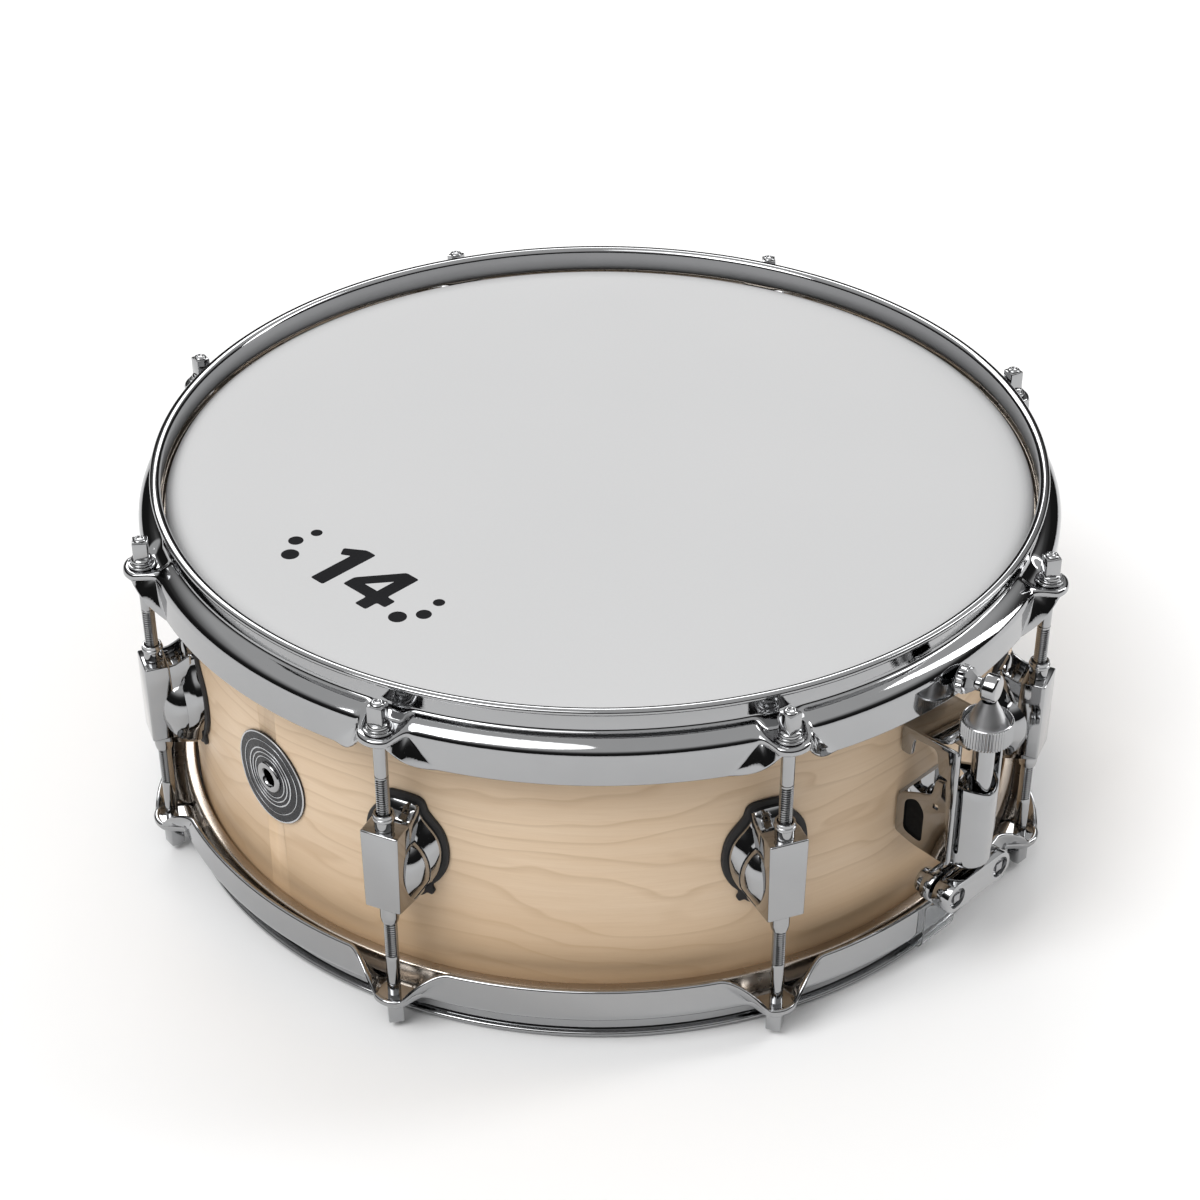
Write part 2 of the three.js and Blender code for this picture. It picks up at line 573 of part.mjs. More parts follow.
/** Side wall of the bracket: a C that touches the shell above and below. */
function bracketWallOutline() {
  const back = SHELL_RADIUS - 4;
  const spine = BRACKET_FRONT_RADIUS - BRACKET_SPINE;
  const arm = SHELL_RADIUS + BRACKET_ROOF_REACH + BRACKET_SHEET;
  const top = BRACKET_TOP;
  const bottom = BRACKET_BOTTOM;
  return shapeOf([
    [back, top], [back, top - BRACKET_ARM_DEPTH], [arm, top - BRACKET_ARM_DEPTH],
    [arm, top - BRACKET_ARM_DEPTH + BRACKET_SHEET], [spine, top - BRACKET_ARM_DEPTH + 1],
    [spine, bottom + BRACKET_FOOT_BEND], [mix(SHELL_RADIUS, spine, 0.4), bottom + 20],
    [SHELL_RADIUS + 4, bottom + BRACKET_FOOT_RISE + 1], [back, bottom + BRACKET_FOOT_RISE],
    [back, bottom + BRACKET_SHEET],
    [BRACKET_FRONT_RADIUS, bottom], [BRACKET_FRONT_RADIUS, top],
  ]);
}

function bracketGeometry() {
  const wall = extrudedAcross(bracketWallOutline(), BRACKET_SHEET / 2);
  const offset = BRACKET_HALF_WIDTH - BRACKET_SHEET / 2;
  const inside = BRACKET_FRONT_RADIUS - BRACKET_SHEET;
  const span = [-offset, offset];
  const plateSpan = [COVER_RADIUS + SLIDE_GAP, offset];
  const plate = box([inside, BRACKET_FRONT_RADIUS], plateSpan, [BRACKET_BOTTOM + 1, COVER_TOP]);
  const mirror = 2 * BRACKET_FRONT_RADIUS - BRACKET_SHEET;
  const plates = [plate, plate.clone().rotateZ(Math.PI).translate(mirror, 0, 0)];
  const back = SHELL_RADIUS - BRACKET_SHEET;
  const roof = box([back, SHELL_RADIUS + BRACKET_ROOF_REACH], span,
    [BRACKET_TOP - BRACKET_SHEET, BRACKET_TOP]);
  const foot = box([back, GASKET_RADIUS + BRACKET_SHEET + 1], span,
    [BRACKET_BOTTOM + BRACKET_SHEET + 1, BRACKET_BOTTOM + BRACKET_FOOT_RISE]);
  const walls = [wall.clone().translate(0, -offset, 0), wall.clone().translate(0, offset, 0)];
  return combine([...walls, ...plates, roof, foot], [shellCutter(GASKET_RADIUS, -STRAINER_ANGLE)]);
}

/** Plan of the cover: a half-round front with straight sides behind it. */
function coverPlan(radius) {
  const centre = STRAINER_AXIS_RADIUS - COVER_SETBACK;
  const plan = new THREE.Shape();
  plan.moveTo(centre - COVER_TAIL, -radius);
  plan.absarc(centre, 0, radius, -Math.PI / 2, Math.PI / 2, false);
  plan.lineTo(centre - COVER_TAIL, radius);
  return plan;
}

function extrudedUp(plan, bottom, top) {
  const options = { depth: top - bottom, bevelEnabled: false, curveSegments: 12 };
  return new THREE.ExtrudeGeometry(plan, options).translate(0, 0, bottom);
}

/** The cover in front of the bracket, with the barrel that carries the lever and knob. */
function housingGeometry() {
  const skin = extrudedUp(coverPlan(COVER_RADIUS), COVER_BOTTOM, COVER_TOP);
  const hollow = extrudedUp(coverPlan(COVER_RADIUS - COVER_SHEET), COVER_BOTTOM - 1, COVER_TOP + 1);
  const ribBottom = COVER_BOTTOM + RIB_RISE;
  const ribPlan = coverPlan(COVER_RADIUS - COVER_SHEET / 2);
  const rib = extrudedUp(ribPlan, ribBottom, ribBottom + RIB_HEIGHT);
  const barrel = rod(BARREL_RADIUS, ribBottom, BARREL_TOP, 12);
  const bore = rod(STEM_RADIUS + SLIDE_GAP, COVER_BOTTOM - 1, BARREL_TOP + 1, 12);
  const shell = combine([skin], [hollow]);
  return combine([shell, rib, barrel.translate(STRAINER_AXIS_RADIUS, 0, 0)],
    [bore.translate(STRAINER_AXIS_RADIUS, 0, 0)]);
}

/** A flat bar with round ends, centred on the clamp's height. */
function clampOutline() {
  const outline = new THREE.Shape();
  const half = CLAMP_SCREW_OFFSET;
  const radius = CLAMP_END_RADIUS;
  outline.moveTo(-half, CLAMP_HEIGHT - radius);
  outline.lineTo(half, CLAMP_HEIGHT - radius);
  outline.absarc(half, CLAMP_HEIGHT, radius, -Math.PI / 2, Math.PI / 2, false);
  outline.lineTo(-half, CLAMP_HEIGHT + radius);
  outline.absarc(-half, CLAMP_HEIGHT, radius, Math.PI / 2, (3 * Math.PI) / 2, false);
  return outline;
}

/** The sliding stem with the clamp bar at its lower end. */
function sliderGeometry() {
  const bar = extrudedOutwards(clampOutline(), CLAMP_FACE_RADIUS, CLAMP_FACE_RADIUS + CLAMP_BAR_THICKNESS);
  const stem = rod(STEM_RADIUS, CLAMP_HEIGHT, STEM_TOP, 12).translate(STRAINER_AXIS_RADIUS, 0, 0);
  const neck = rod(BARREL_RADIUS - 0.6, CLAMP_HEIGHT, COVER_BOTTOM + 5, 16);
  return combine([bar, stem, neck.translate(STRAINER_AXIS_RADIUS, 0, 0)]);
}

function clampPlateGeometry() {
  return extrudedOutwards(clampOutline(), CLAMP_PLATE_FACE - CLAMP_PLATE_THICKNESS, CLAMP_PLATE_FACE);
}

function knobGeometry() {
  const bore = STEM_RADIUS + SLIDE_GAP;
  const bottom = BARREL_TOP + SLIDE_GAP;
  const rim = bottom + KNOB_HEIGHT;
  const top = rim + KNOB_CONE_HEIGHT;
  const knob = turnedRing([
    [bore, bottom], [KNOB_RADIUS, bottom], [KNOB_RADIUS, rim], [KNOB_NECK_RADIUS, top], [bore, top],
  ], 24);
  return knob.translate(STRAINER_AXIS_RADIUS, 0, 0);
}

/** The throw lever: a cross handle on a post that runs through the knob into the barrel. */
function leverGeometry() {
  const inner = LEVER_HUB_REACH - LEVER_HUB_LENGTH;
  const handle = turned([
    [0, -LEVER_GRIP_REACH], [LEVER_GRIP_RADIUS - 0.9, -LEVER_GRIP_REACH],
    [LEVER_GRIP_RADIUS, -LEVER_GRIP_REACH + 1.2], [LEVER_GRIP_RADIUS, -LEVER_GRIP_REACH + 5],
    [LEVER_NECK_RADIUS, inner - 1], [LEVER_HUB_RADIUS, inner + 0.6],
    [LEVER_HUB_RADIUS, LEVER_HUB_REACH], [0, LEVER_HUB_REACH],
  ], 16);
  handle.rotateY(Math.PI / 2).translate(0, 0, LEVER_HEIGHT);
  const post = rod(STEM_RADIUS, LEVER_POST_BOTTOM, LEVER_HEIGHT, 12);
  return combine([handle, post]).translate(STRAINER_AXIS_RADIUS, 0, 0);
}

// ---------------------------------------------------------------- butt plate

function buttPlateGeometry() {
  const back = SHELL_RADIUS - 4;
  const foot = CLAMP_HEIGHT - BUTT_FOOT_FALL;
  const top = CLAMP_HEIGHT + BUTT_PLATE_RISE;
  const under = CLAMP_HEIGHT - BUTT_ARM_HALF_HEIGHT;
  const over = CLAMP_HEIGHT + BUTT_ARM_HALF_HEIGHT;
  const outline = shapeOf([
    [back, foot], [SHELL_RADIUS + 4, foot], [SHELL_RADIUS + 6, under],
    [CLAMP_PLATE_FACE, under], [CLAMP_PLATE_FACE, over], [SHELL_RADIUS + 12, over + 6],
    [SHELL_RADIUS + 4, over + 16], [SHELL_RADIUS + BUTT_SHEET, top], [back, top],
  ]);
  const halfWidth = CLAMP_SCREW_OFFSET + CLAMP_END_RADIUS - 1;
  const body = extrudedAcross(outline, halfWidth);
  return combine([body], [shellCutter(GASKET_RADIUS, -STRAINER_ANGLE)]);
}

function buttClampGeometry() {
  return extrudedOutwards(clampOutline(), CLAMP_FACE_RADIUS, CLAMP_FACE_RADIUS + BUTT_CLAMP_THICKNESS);
}

// ---------------------------------------------------------------- snares

/** Outline of a band of even thickness along a line of [x, z] points. */
function bandOutline(line, thickness) {
  const sides = [[], []];
  line.forEach(([x, z], i) => {
    const [x0, z0] = line[Math.max(i - 1, 0)];
    const [x1, z1] = line[Math.min(i + 1, line.length - 1)];
    const length = Math.hypot(x1 - x0, z1 - z0);
    const offset = [((z0 - z1) / length) * (thickness / 2), ((x1 - x0) / length) * (thickness / 2)];
    sides[0].push([x + offset[0], z + offset[1]]);
    sides[1].push([x - offset[0], z - offset[1]]);
  });
  return shapeOf([...sides[0], ...sides[1].reverse()]);
}

/** A strap from the wires' end plate, out through the hoop's gate and up to its clamp. */
function strapGeometry() {
  const outside = SKIRT_RADIUS + STRAP_STANDOFF;
  const entry = CLAMP_HEIGHT - CLAMP_END_RADIUS;
  const lean = entry - STRAP_RUN;
  const upright = mix(WIRE_HEIGHT, lean, 0.45); // where the corner ends
  const half = STRAP_RUN / 2;
  const corner = new THREE.CubicBezierCurve(
    new THREE.Vector2(RIM_OUTER_RADIUS, WIRE_HEIGHT), new THREE.Vector2(outside - 1, WIRE_HEIGHT),
    new THREE.Vector2(outside, WIRE_HEIGHT + 1.5), new THREE.Vector2(outside, upright));
  const rise = new THREE.CubicBezierCurve(
    new THREE.Vector2(outside, lean), new THREE.Vector2(outside, lean + half),
    new THREE.Vector2(STRAP_CLAMP_RADIUS, entry - half), new THREE.Vector2(STRAP_CLAMP_RADIUS, entry));
  const line = [
    [WIRE_PLATE_OUTER + REST_GAP, WIRE_HEIGHT],
    ...corner.getPoints(6).map((p) => [p.x, p.y]),
    ...rise.getPoints(6).map((p) => [p.x, p.y]),
    [STRAP_CLAMP_RADIUS, CLAMP_HEIGHT + CLAMP_END_RADIUS - 1],
  ];
  return extrudedAcross(bandOutline(line, STRAP_THICKNESS), STRAP_HALF_WIDTH);
}

/** Twenty wires side by side, joined by an end plate at each end. */
function snareWiresGeometry() {
  const halfWidth = ((WIRE_COUNT - 1) / 2) * WIRE_PITCH + WIRE_RADIUS + 1;
  const heights = [WIRE_HEIGHT - WIRE_PLATE_THICKNESS / 2, WIRE_HEIGHT + WIRE_PLATE_THICKNESS / 2];
  const plates = [-1, 1].map((side) => {
    const reach = [side * WIRE_PLATE_INNER, side * WIRE_PLATE_OUTER].sort((a, b) => a - b);
    return box(reach, [-halfWidth, halfWidth], heights);
  });
  const end = WIRE_PLATE_INNER + 3;
  const wires = Array.from({ length: WIRE_COUNT }, (_, i) => {
    const wire = rod(WIRE_RADIUS, -end, end, 4).rotateY(Math.PI / 2);
    return wire.translate(0, (i - (WIRE_COUNT - 1) / 2) * WIRE_PITCH, WIRE_HEIGHT);
  });
  return combine([...plates, ...wires]);
}

// ---------------------------------------------------------------- assembly

const film = filmGeometry();
const fleshHoop = fleshHoopGeometry();
const hoop = combine([hoopGeometry()], earHoles());
const tensionRod = tensionRodGeometry();

addPiece('shell', shellGeometry(), 'maple');
addPiece('badge_vent', badgeGeometry(), 'badge', BADGE_ANGLE);
addPiece('batter_head_film', onSide(film, 1), 'film');
addPiece('snare_head_film', onSide(film, -1), 'clearFilm');
addPiece('batter_flesh_hoop', onSide(fleshHoop, 1), 'aluminium');
addPiece('snare_flesh_hoop', onSide(fleshHoop, -1), 'aluminium');
addPiece('batter_hoop', onSide(hoop, 1), 'chrome');
addPiece('snare_side_hoop', combine([onSide(hoop, -1)], snareGates()), 'chrome');

rodAngles().forEach((angle, i) => {
  const phase = -angle;
  addPiece(`lug_gasket_${i + 1}`, gasketGeometry(phase), 'rubber', angle);
  addPiece(`lug_${i + 1}`, lugGeometry(phase), 'chrome', angle);
  addPiece(`lug_insert_${i + 1}`, insertGeometry(), 'chrome', angle);
  addPiece(`batter_rod_${i + 1}`, onSide(tensionRod, 1), 'chrome', angle);
  addPiece(`snare_rod_${i + 1}`, onSide(tensionRod, -1), 'chrome', angle);
});

addPiece('strainer_bracket', bracketGeometry(), 'chrome', STRAINER_ANGLE);
addPiece('strainer_housing', housingGeometry(), 'chrome', STRAINER_ANGLE);
addPiece('strainer_slider', sliderGeometry(), 'chrome', STRAINER_ANGLE);
addPiece('strainer_clamp_plate', clampPlateGeometry(), 'chrome', STRAINER_ANGLE);
addPiece('strainer_knob', knobGeometry(), 'chrome', STRAINER_ANGLE);
addPiece('strainer_lever', leverGeometry(), 'chrome', STRAINER_ANGLE);
addPiece('butt_plate', buttPlateGeometry(), 'chrome', STRAINER_ANGLE + 180);
addPiece('butt_clamp', buttClampGeometry(), 'chrome', STRAINER_ANGLE + 180);
addPiece('snare_wires', snareWiresGeometry(), 'steel', STRAINER_ANGLE);
addPiece('snare_strap_strainer', strapGeometry(), 'strap', STRAINER_ANGLE);
addPiece('snare_strap_butt', strapGeometry(), 'strap', STRAINER_ANGLE + 180);

export default drum;
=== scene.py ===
"""Looks of the snare drum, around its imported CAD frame.

Shapes are worked out in millimetres in the frame's own axes. Fittings at the drum's side are
made in a local frame, x outwards, y along the side and z up, and are then turned into place.
"""
import json
import math

import bmesh
import bpy
from mathutils import Matrix, Vector


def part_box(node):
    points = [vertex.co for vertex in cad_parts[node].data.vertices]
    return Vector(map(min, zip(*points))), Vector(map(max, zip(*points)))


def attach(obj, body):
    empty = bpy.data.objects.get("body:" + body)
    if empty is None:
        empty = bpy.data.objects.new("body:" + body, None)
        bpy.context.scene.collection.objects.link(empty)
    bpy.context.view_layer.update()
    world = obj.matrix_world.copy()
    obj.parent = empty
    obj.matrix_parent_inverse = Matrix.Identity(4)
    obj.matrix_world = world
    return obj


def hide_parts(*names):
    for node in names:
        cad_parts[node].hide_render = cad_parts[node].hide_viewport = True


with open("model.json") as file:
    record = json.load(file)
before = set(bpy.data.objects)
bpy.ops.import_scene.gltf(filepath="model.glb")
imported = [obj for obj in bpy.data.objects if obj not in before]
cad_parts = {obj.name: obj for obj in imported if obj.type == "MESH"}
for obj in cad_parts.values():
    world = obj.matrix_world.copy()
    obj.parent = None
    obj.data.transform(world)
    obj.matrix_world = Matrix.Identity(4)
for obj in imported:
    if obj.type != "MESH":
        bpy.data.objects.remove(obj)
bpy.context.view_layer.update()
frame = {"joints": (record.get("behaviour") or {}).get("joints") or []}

MM = 0.001
joints = {j["name"]: j for j in frame["joints"]}


def top_of(node):
    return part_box(node)[1].z / MM


def foot_of(node):
    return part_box(node)[0].z / MM


# ---------------------------------------------------------------- sizes, in millimetres

RIM_TOP = top_of("batter_hoop")
MID = RIM_TOP / 2
SHELL_RADIUS = 177.8
SHELL_WALL = 6.4
SHELL_HALF = top_of("shell") - MID
HOOP_BORE = 181.6
RIM_RADIUS = 186.5
SKIRT_RADIUS = 192.0
SHEET = 2.3
SKIRT_DROP = 28.6
ROD_RADIUS = 2.7
STEPS_ROUND = 192

rod_place = joints["batter_rod_1_turn"]["pos_m"]
ROD_CIRCLE = math.hypot(rod_place[0], rod_place[1]) / MM
ROD_ANGLES = [22.5 + 45 * i for i in range(8)]
lever_place = joints["throw_lever_turn"]["pos_m"]
STRAINER_RADIUS = math.hypot(lever_place[0], lever_place[1]) / MM
STRAINER_ANGLE = math.degrees(math.atan2(lever_place[1], lever_place[0]))
LEVER_Z = lever_place[2] / MM
BADGE_ANGLE = 225.0
BADGE_RADIUS = 20.5

# ---------------------------------------------------------------- camera, lights, floor

CAMERA_LENS = 76.705
CAMERA_PLACE = (0.0299, -0.9171, 0.7053)
CAMERA_TILT = 55.762
CAMERA_TURN = 1.862
WORLD_STRENGTH = 0.72
BACKGROUND_GREY = 1.15
WALL_GREYS = [(0.0, 0.02), (0.30, 0.03), (0.42, 0.10), (0.52, 0.45), (0.66, 1.0), (1.0, 1.0)]
FLOOR_SIZE = 45
FLOOR_Z = -0.0006


def look_at(obj, target):
    direction = Vector(target) - obj.location
    obj.rotation_euler = direction.to_track_quat("-Z", "Y").to_euler()


def add_camera():
    data = bpy.data.cameras.new("camera")
    data.sensor_width = 36
    data.lens = CAMERA_LENS
    data.clip_start = 0.05
    data.clip_end = 60
    camera = bpy.data.objects.new("camera", data)
    camera.location = CAMERA_PLACE
    camera.rotation_euler = (math.radians(CAMERA_TILT), 0, math.radians(CAMERA_TURN))
    bpy.context.scene.collection.objects.link(camera)
    bpy.context.scene.camera = camera


def add_area(name, place, target, size, power):
    data = bpy.data.lights.new(name, "AREA")
    data.shape = "RECTANGLE"
    data.size, data.size_y = size
    data.energy = power
    light = bpy.data.objects.new(name, data)
    light.location = place
    look_at(light, target)
    bpy.context.scene.collection.objects.link(light)


def add_sun(name, direction, strength, angle):
    data = bpy.data.lights.new(name, "SUN")
    data.energy = strength
    data.angle = math.radians(angle)
    light = bpy.data.objects.new(name, data)
    light.rotation_euler = (-Vector(direction)).to_track_quat("Z", "Y").to_euler()
    bpy.context.scene.collection.objects.link(light)


def add_world():
    """Dark low walls and a bright ceiling for light and reflections.

    The camera itself sees an even grey in their place.
    """
    world = bpy.data.worlds.new("studio")
    world.use_nodes = True
    nodes, links = world.node_tree.nodes, world.node_tree.links
    background = nodes["Background"]
    coords = nodes.new("ShaderNodeTexCoord")
    split = nodes.new("ShaderNodeSeparateXYZ")
    ramp = nodes.new("ShaderNodeValToRGB")
    links.new(coords.outputs["Generated"], split.inputs[0])
    links.new(split.outputs["Z"], ramp.inputs[0])
    path = nodes.new("ShaderNodeLightPath")
    seen = nodes.new("ShaderNodeMix")
    seen.data_type = "RGBA"
    seen.inputs[7].default_value = (BACKGROUND_GREY, BACKGROUND_GREY, BACKGROUND_GREY, 1)
    links.new(path.outputs["Is Camera Ray"], seen.inputs[0])
    links.new(ramp.outputs[0], seen.inputs[6])
    links.new(seen.outputs[2], background.inputs[0])
    elements = ramp.color_ramp.elements
    while len(elements) < len(WALL_GREYS):
        elements.new(0.5)
    for element, (place, grey) in zip(elements, WALL_GREYS):
        element.position = place
        element.color = (grey, grey, grey, 1)
    background.inputs[1].default_value = WORLD_STRENGTH
    bpy.context.scene.world = world
    bpy.context.scene.view_settings.view_transform = "Standard"


def add_floor():
    bm = bmesh.new()
    bmesh.ops.create_grid(bm, x_segments=8, y_segments=8, size=FLOOR_SIZE)
    mesh = bpy.data.meshes.new("floor")
    bm.to_mesh(mesh)
    floor = bpy.data.objects.new("floor", mesh)
    floor.location.z = FLOOR_Z
    bpy.context.scene.collection.objects.link(floor)
    material, shader, g = new_material("floor_paper", (0.93, 0.93, 0.93), 0.9)
    shader.inputs["Specular IOR Level"].default_value = 0.1
    tone = g.noise(g.place(), 2.5, 2)
    g.link(g.mix(tone, (0.925, 0.925, 0.925), (0.94, 0.94, 0.94)), shader.inputs["Base Color"])
    floor.data.materials.append(material)


# ---------------------------------------------------------------- materials


def new_material(name, colour, roughness, metallic=0.0):
    material = bpy.data.materials.new(name)
    material.use_nodes = True
    shader = material.node_tree.nodes["Principled BSDF"]
    shader.inputs["Base Color"].default_value = (*colour, 1)
    shader.inputs["Roughness"].default_value = roughness
    shader.inputs["Metallic"].default_value = metallic
    return material, shader, Graph(material.node_tree)


class Graph:
    """Short calls for building a material's nodes."""

    def __init__(self, tree):
        self.nodes = tree.nodes
        self.links = tree.links
        self.coords = None

    def link(self, a, b):
        self.links.new(a, b)

    def place(self, scale=(1, 1, 1)):
        """Object coordinates, stretched."""
        if self.coords is None:
            self.coords = self.nodes.new("ShaderNodeTexCoord")
        mapping = self.nodes.new("ShaderNodeMapping")
        mapping.inputs["Scale"].default_value = scale
        self.link(self.coords.outputs["Object"], mapping.inputs[0])
        return mapping.outputs[0]

    def noise(self, vector, scale, detail=3.0, roughness=0.5, distortion=0.0):
        node = self.nodes.new("ShaderNodeTexNoise")
        node.inputs["Scale"].default_value = scale
        node.inputs["Detail"].default_value = detail
        node.inputs["Roughness"].default_value = roughness
        node.inputs["Distortion"].default_value = distortion
        self.link(vector, node.inputs["Vector"])
        return node.outputs["Fac"]

    def ramp(self, value, stops):
        node = self.nodes.new("ShaderNodeValToRGB")
        elements = node.color_ramp.elements
        while len(elements) < len(stops):
            elements.new(0.5)
        for element, (place, colour) in zip(elements, stops):
            element.position = place
            if not isinstance(colour, tuple):
                colour = (colour, colour, colour)
            element.color = (*colour, 1)
        self.link(value, node.inputs[0])
        return node.outputs[0]

    def math(self, operation, a, b=0.0):
        node = self.nodes.new("ShaderNodeMath")
        node.operation = operation
        for socket, value in zip(node.inputs, (a, b)):
            if isinstance(value, (int, float)):
                socket.default_value = value
            else:
                self.link(value, socket)
        return node.outputs[0]

    def mix(self, factor, a, b, mode="MIX"):
        node = self.nodes.new("ShaderNodeMix")
        node.data_type = "RGBA"
        node.blend_type = mode
        for socket, value in ((node.inputs[0], factor), (node.inputs[6], a), (node.inputs[7], b)):
            if isinstance(value, (int, float)):
                socket.default_value = value
            elif isinstance(value, tuple):
                socket.default_value = (*value, 1)
            else:
                self.link(value, socket)
        return node.outputs[2]

    def bump(self, height, strength, distance, shader):
        node = self.nodes.new("ShaderNodeBump")
        node.inputs["Strength"].default_value = strength
        node.inputs["Distance"].default_value = distance
        self.link(height, node.inputs["Height"])
        self.link(node.outputs[0], shader.inputs["Normal"])


def metal(name, colour, low, high, scratch=0.02):
    """Plated metal: a little haze in patches, and very fine polishing marks."""
    material, shader, g = new_material(name, colour, low, 1.0)
    haze = g.noise(g.place(), 38, 4, 0.6)
    g.link(g.ramp(haze, [(0.35, low), (0.72, high)]), shader.inputs["Roughness"])
    tone = g.noise(g.place(), 90, 2)
    darker = tuple(c * 0.94 for c in colour)
    g.link(g.mix(tone, darker, colour), shader.inputs["Base Color"])
    marks = g.noise(g.place((1, 1, 9)), 420, 2, 0.7)
    g.bump(marks, scratch, 0.0002, shader)
    return material


def maple():
    """Satin maple with its grain running round the shell."""
    material, shader, g = new_material("maple_veneer", (0.62, 0.45, 0.29), 0.34)
    shader.inputs["Coat Weight"].default_value = 0.03
    shader.inputs["Specular IOR Level"].default_value = 0.2
    shader.inputs["Coat Roughness"].default_value = 0.12
    warp = g.noise(g.place((1.0, 1.0, 3.2)), 5.0, 3, 0.5)
    split = g.nodes.new("ShaderNodeSeparateXYZ")
    g.link(g.place(), split.inputs[0])
    height = g.math("ADD", g.math("MULTIPLY", split.outputs["Z"], 92),
                    g.math("MULTIPLY", warp, 10.0))
    rings = g.math("FRACT", height)
    line = g.ramp(rings, [(0.0, 0.0), (0.72, 0.10), (0.93, 0.70), (1.0, 0.0)])
    streaks = g.noise(g.place((1.6, 1.6, 34)), 9, 5, 0.62)
    fibres = g.noise(g.place((9, 9, 210)), 9, 3, 0.6)
    patches = g.noise(g.place((1, 1, 3)), 7, 2)
    base = g.ramp(patches, [(0.3, (0.745, 0.565, 0.390)), (0.7, (0.825, 0.650, 0.470))])
    toned = g.mix(g.ramp(streaks, [(0.35, 0.0), (0.75, 0.5)]), base, (0.700, 0.505, 0.325))
    fine = g.mix(g.ramp(fibres, [(0.45, 0.0), (0.8, 0.22)]), toned, (0.620, 0.430, 0.265))
    lined = g.mix(g.math("MULTIPLY", line, 0.55), fine, (0.520, 0.340, 0.190))
    # Painted shade: the colour is made darker and warmer towards the bottom of the shell, just
    # above the lower hoop.
    low_painted_shade = g.ramp(g.math("MULTIPLY", split.outputs["Z"], 7), [(0.12, 0.75), (0.42, 0.0)])
    g.link(g.mix(low_painted_shade, lined, (0.72, 0.485, 0.275)), shader.inputs["Base Color"])
    g.link(g.ramp(streaks, [(0.3, 0.30), (0.8, 0.42)]), shader.inputs["Roughness"])
    g.bump(g.math("ADD", fibres, g.math("MULTIPLY", line, 0.6)), 0.06, 0.0004, shader)
    return material


def coated_film():
    """White sprayed coating: a fine tooth and faint cloudiness."""
    material, shader, g = new_material("coated_film", (0.53, 0.53, 0.53), 0.62)
    grit = g.noise(g.place(), 900, 3, 0.7)
    cloud = g.noise(g.place(), 9, 3)
    g.link(g.mix(cloud, (0.515, 0.517, 0.520), (0.540, 0.540, 0.542)), shader.inputs["Base Color"])
    g.link(g.ramp(grit, [(0.3, 0.55), (0.7, 0.75)]), shader.inputs["Roughness"])
    g.bump(grit, 0.12, 0.0003, shader)
    return material


def clear_film():
    material, shader, g = new_material("hazy_film", (0.80, 0.81, 0.82), 0.22)
    shader.inputs["Transmission Weight"].default_value = 0.35
    shader.inputs["IOR"].default_value = 1.3
    haze = g.noise(g.place(), 30, 4)
    g.link(g.ramp(haze, [(0.3, 0.16), (0.8, 0.34)]), shader.inputs["Roughness"])
    g.link(g.mix(haze, (0.77, 0.78, 0.79), (0.83, 0.84, 0.85)), shader.inputs["Base Color"])
    g.bump(haze, 0.03, 0.0005, shader)
    return material


def moulded(name, colour, roughness, grain, gloss=0.25):
    """Rubber or moulded plastic with a fine grain."""
    material, shader, g = new_material(name, colour, roughness)
    shader.inputs["Specular IOR Level"].default_value = gloss
    cells = g.noise(g.place(), grain, 3, 0.6)
    lighter = tuple(min(c * 1.6 + 0.002, 1) for c in colour)
    g.link(g.mix(g.noise(g.place(), 60, 2), colour, lighter), shader.inputs["Base Color"])
    g.link(g.ramp(cells, [(0.3, roughness - 0.08), (0.7, roughness + 0.1)]),
           shader.inputs["Roughness"])
    g.bump(cells, 0.15, 0.0003, shader)
    return material


def strap_film():
    """Thin clear polyester, a little hazy along its length."""
    material, shader, g = new_material("strap_film", (0.78, 0.79, 0.80), 0.12)
    shader.inputs["Transmission Weight"].default_value = 0.92
    shader.inputs["IOR"].default_value = 1.12
    haze = g.noise(g.place((1, 1, 0.2)), 160, 3)
    g.link(g.ramp(haze, [(0.3, 0.06), (0.8, 0.2)]), shader.inputs["Roughness"])
    g.link(g.mix(haze, (0.74, 0.76, 0.77), (0.84, 0.85, 0.86)), shader.inputs["Base Color"])
    g.bump(haze, 0.05, 0.0002, shader)
    return material


CHROME = metal("chrome_plate", (0.385, 0.388, 0.394), 0.03, 0.08)
ALUMINIUM = metal("satin_aluminium", (0.50, 0.44, 0.38), 0.22, 0.34, 0.10)
BRUSHED = metal("brushed_chrome", (0.66, 0.66, 0.67), 0.26, 0.36, 0.12)
STEEL = metal("snare_steel", (0.50, 0.50, 0.505), 0.16, 0.28, 0.05)
PIN_STEEL = metal("pin_steel", (0.34, 0.34, 0.35), 0.22, 0.36, 0.05)
MAPLE = maple()
COATED = coated_film()
CLEAR = clear_film()
RUBBER = moulded("gasket_rubber", (0.022, 0.021, 0.021), 0.55, 700)
INK = moulded("printed_ink", (0.010, 0.010, 0.011), 0.7, 800, 0.05)
# Near-black painted shade, for the dark inside of the strainer bracket seen through its window.
RECESS_SHADE = moulded("painted_recess_shade", (0.004, 0.004, 0.004), 0.7, 500, 0.1)
BADGE_BLACK = moulded("badge_enamel", (0.012, 0.0125, 0.015), 0.28, 600)
BADGE_SILVER = metal("badge_silver", (0.58, 0.59, 0.61), 0.20, 0.32, 0.03)
STRAP = strap_film()

# ---------------------------------------------------------------- mesh helpers


def solid(verts, faces):
    bm = bmesh.new()
    made = [bm.verts.new(v) for v in verts]
    for face in faces:
        try:
            bm.faces.new([made[i] for i in face])
        except ValueError:
            pass
    return bm


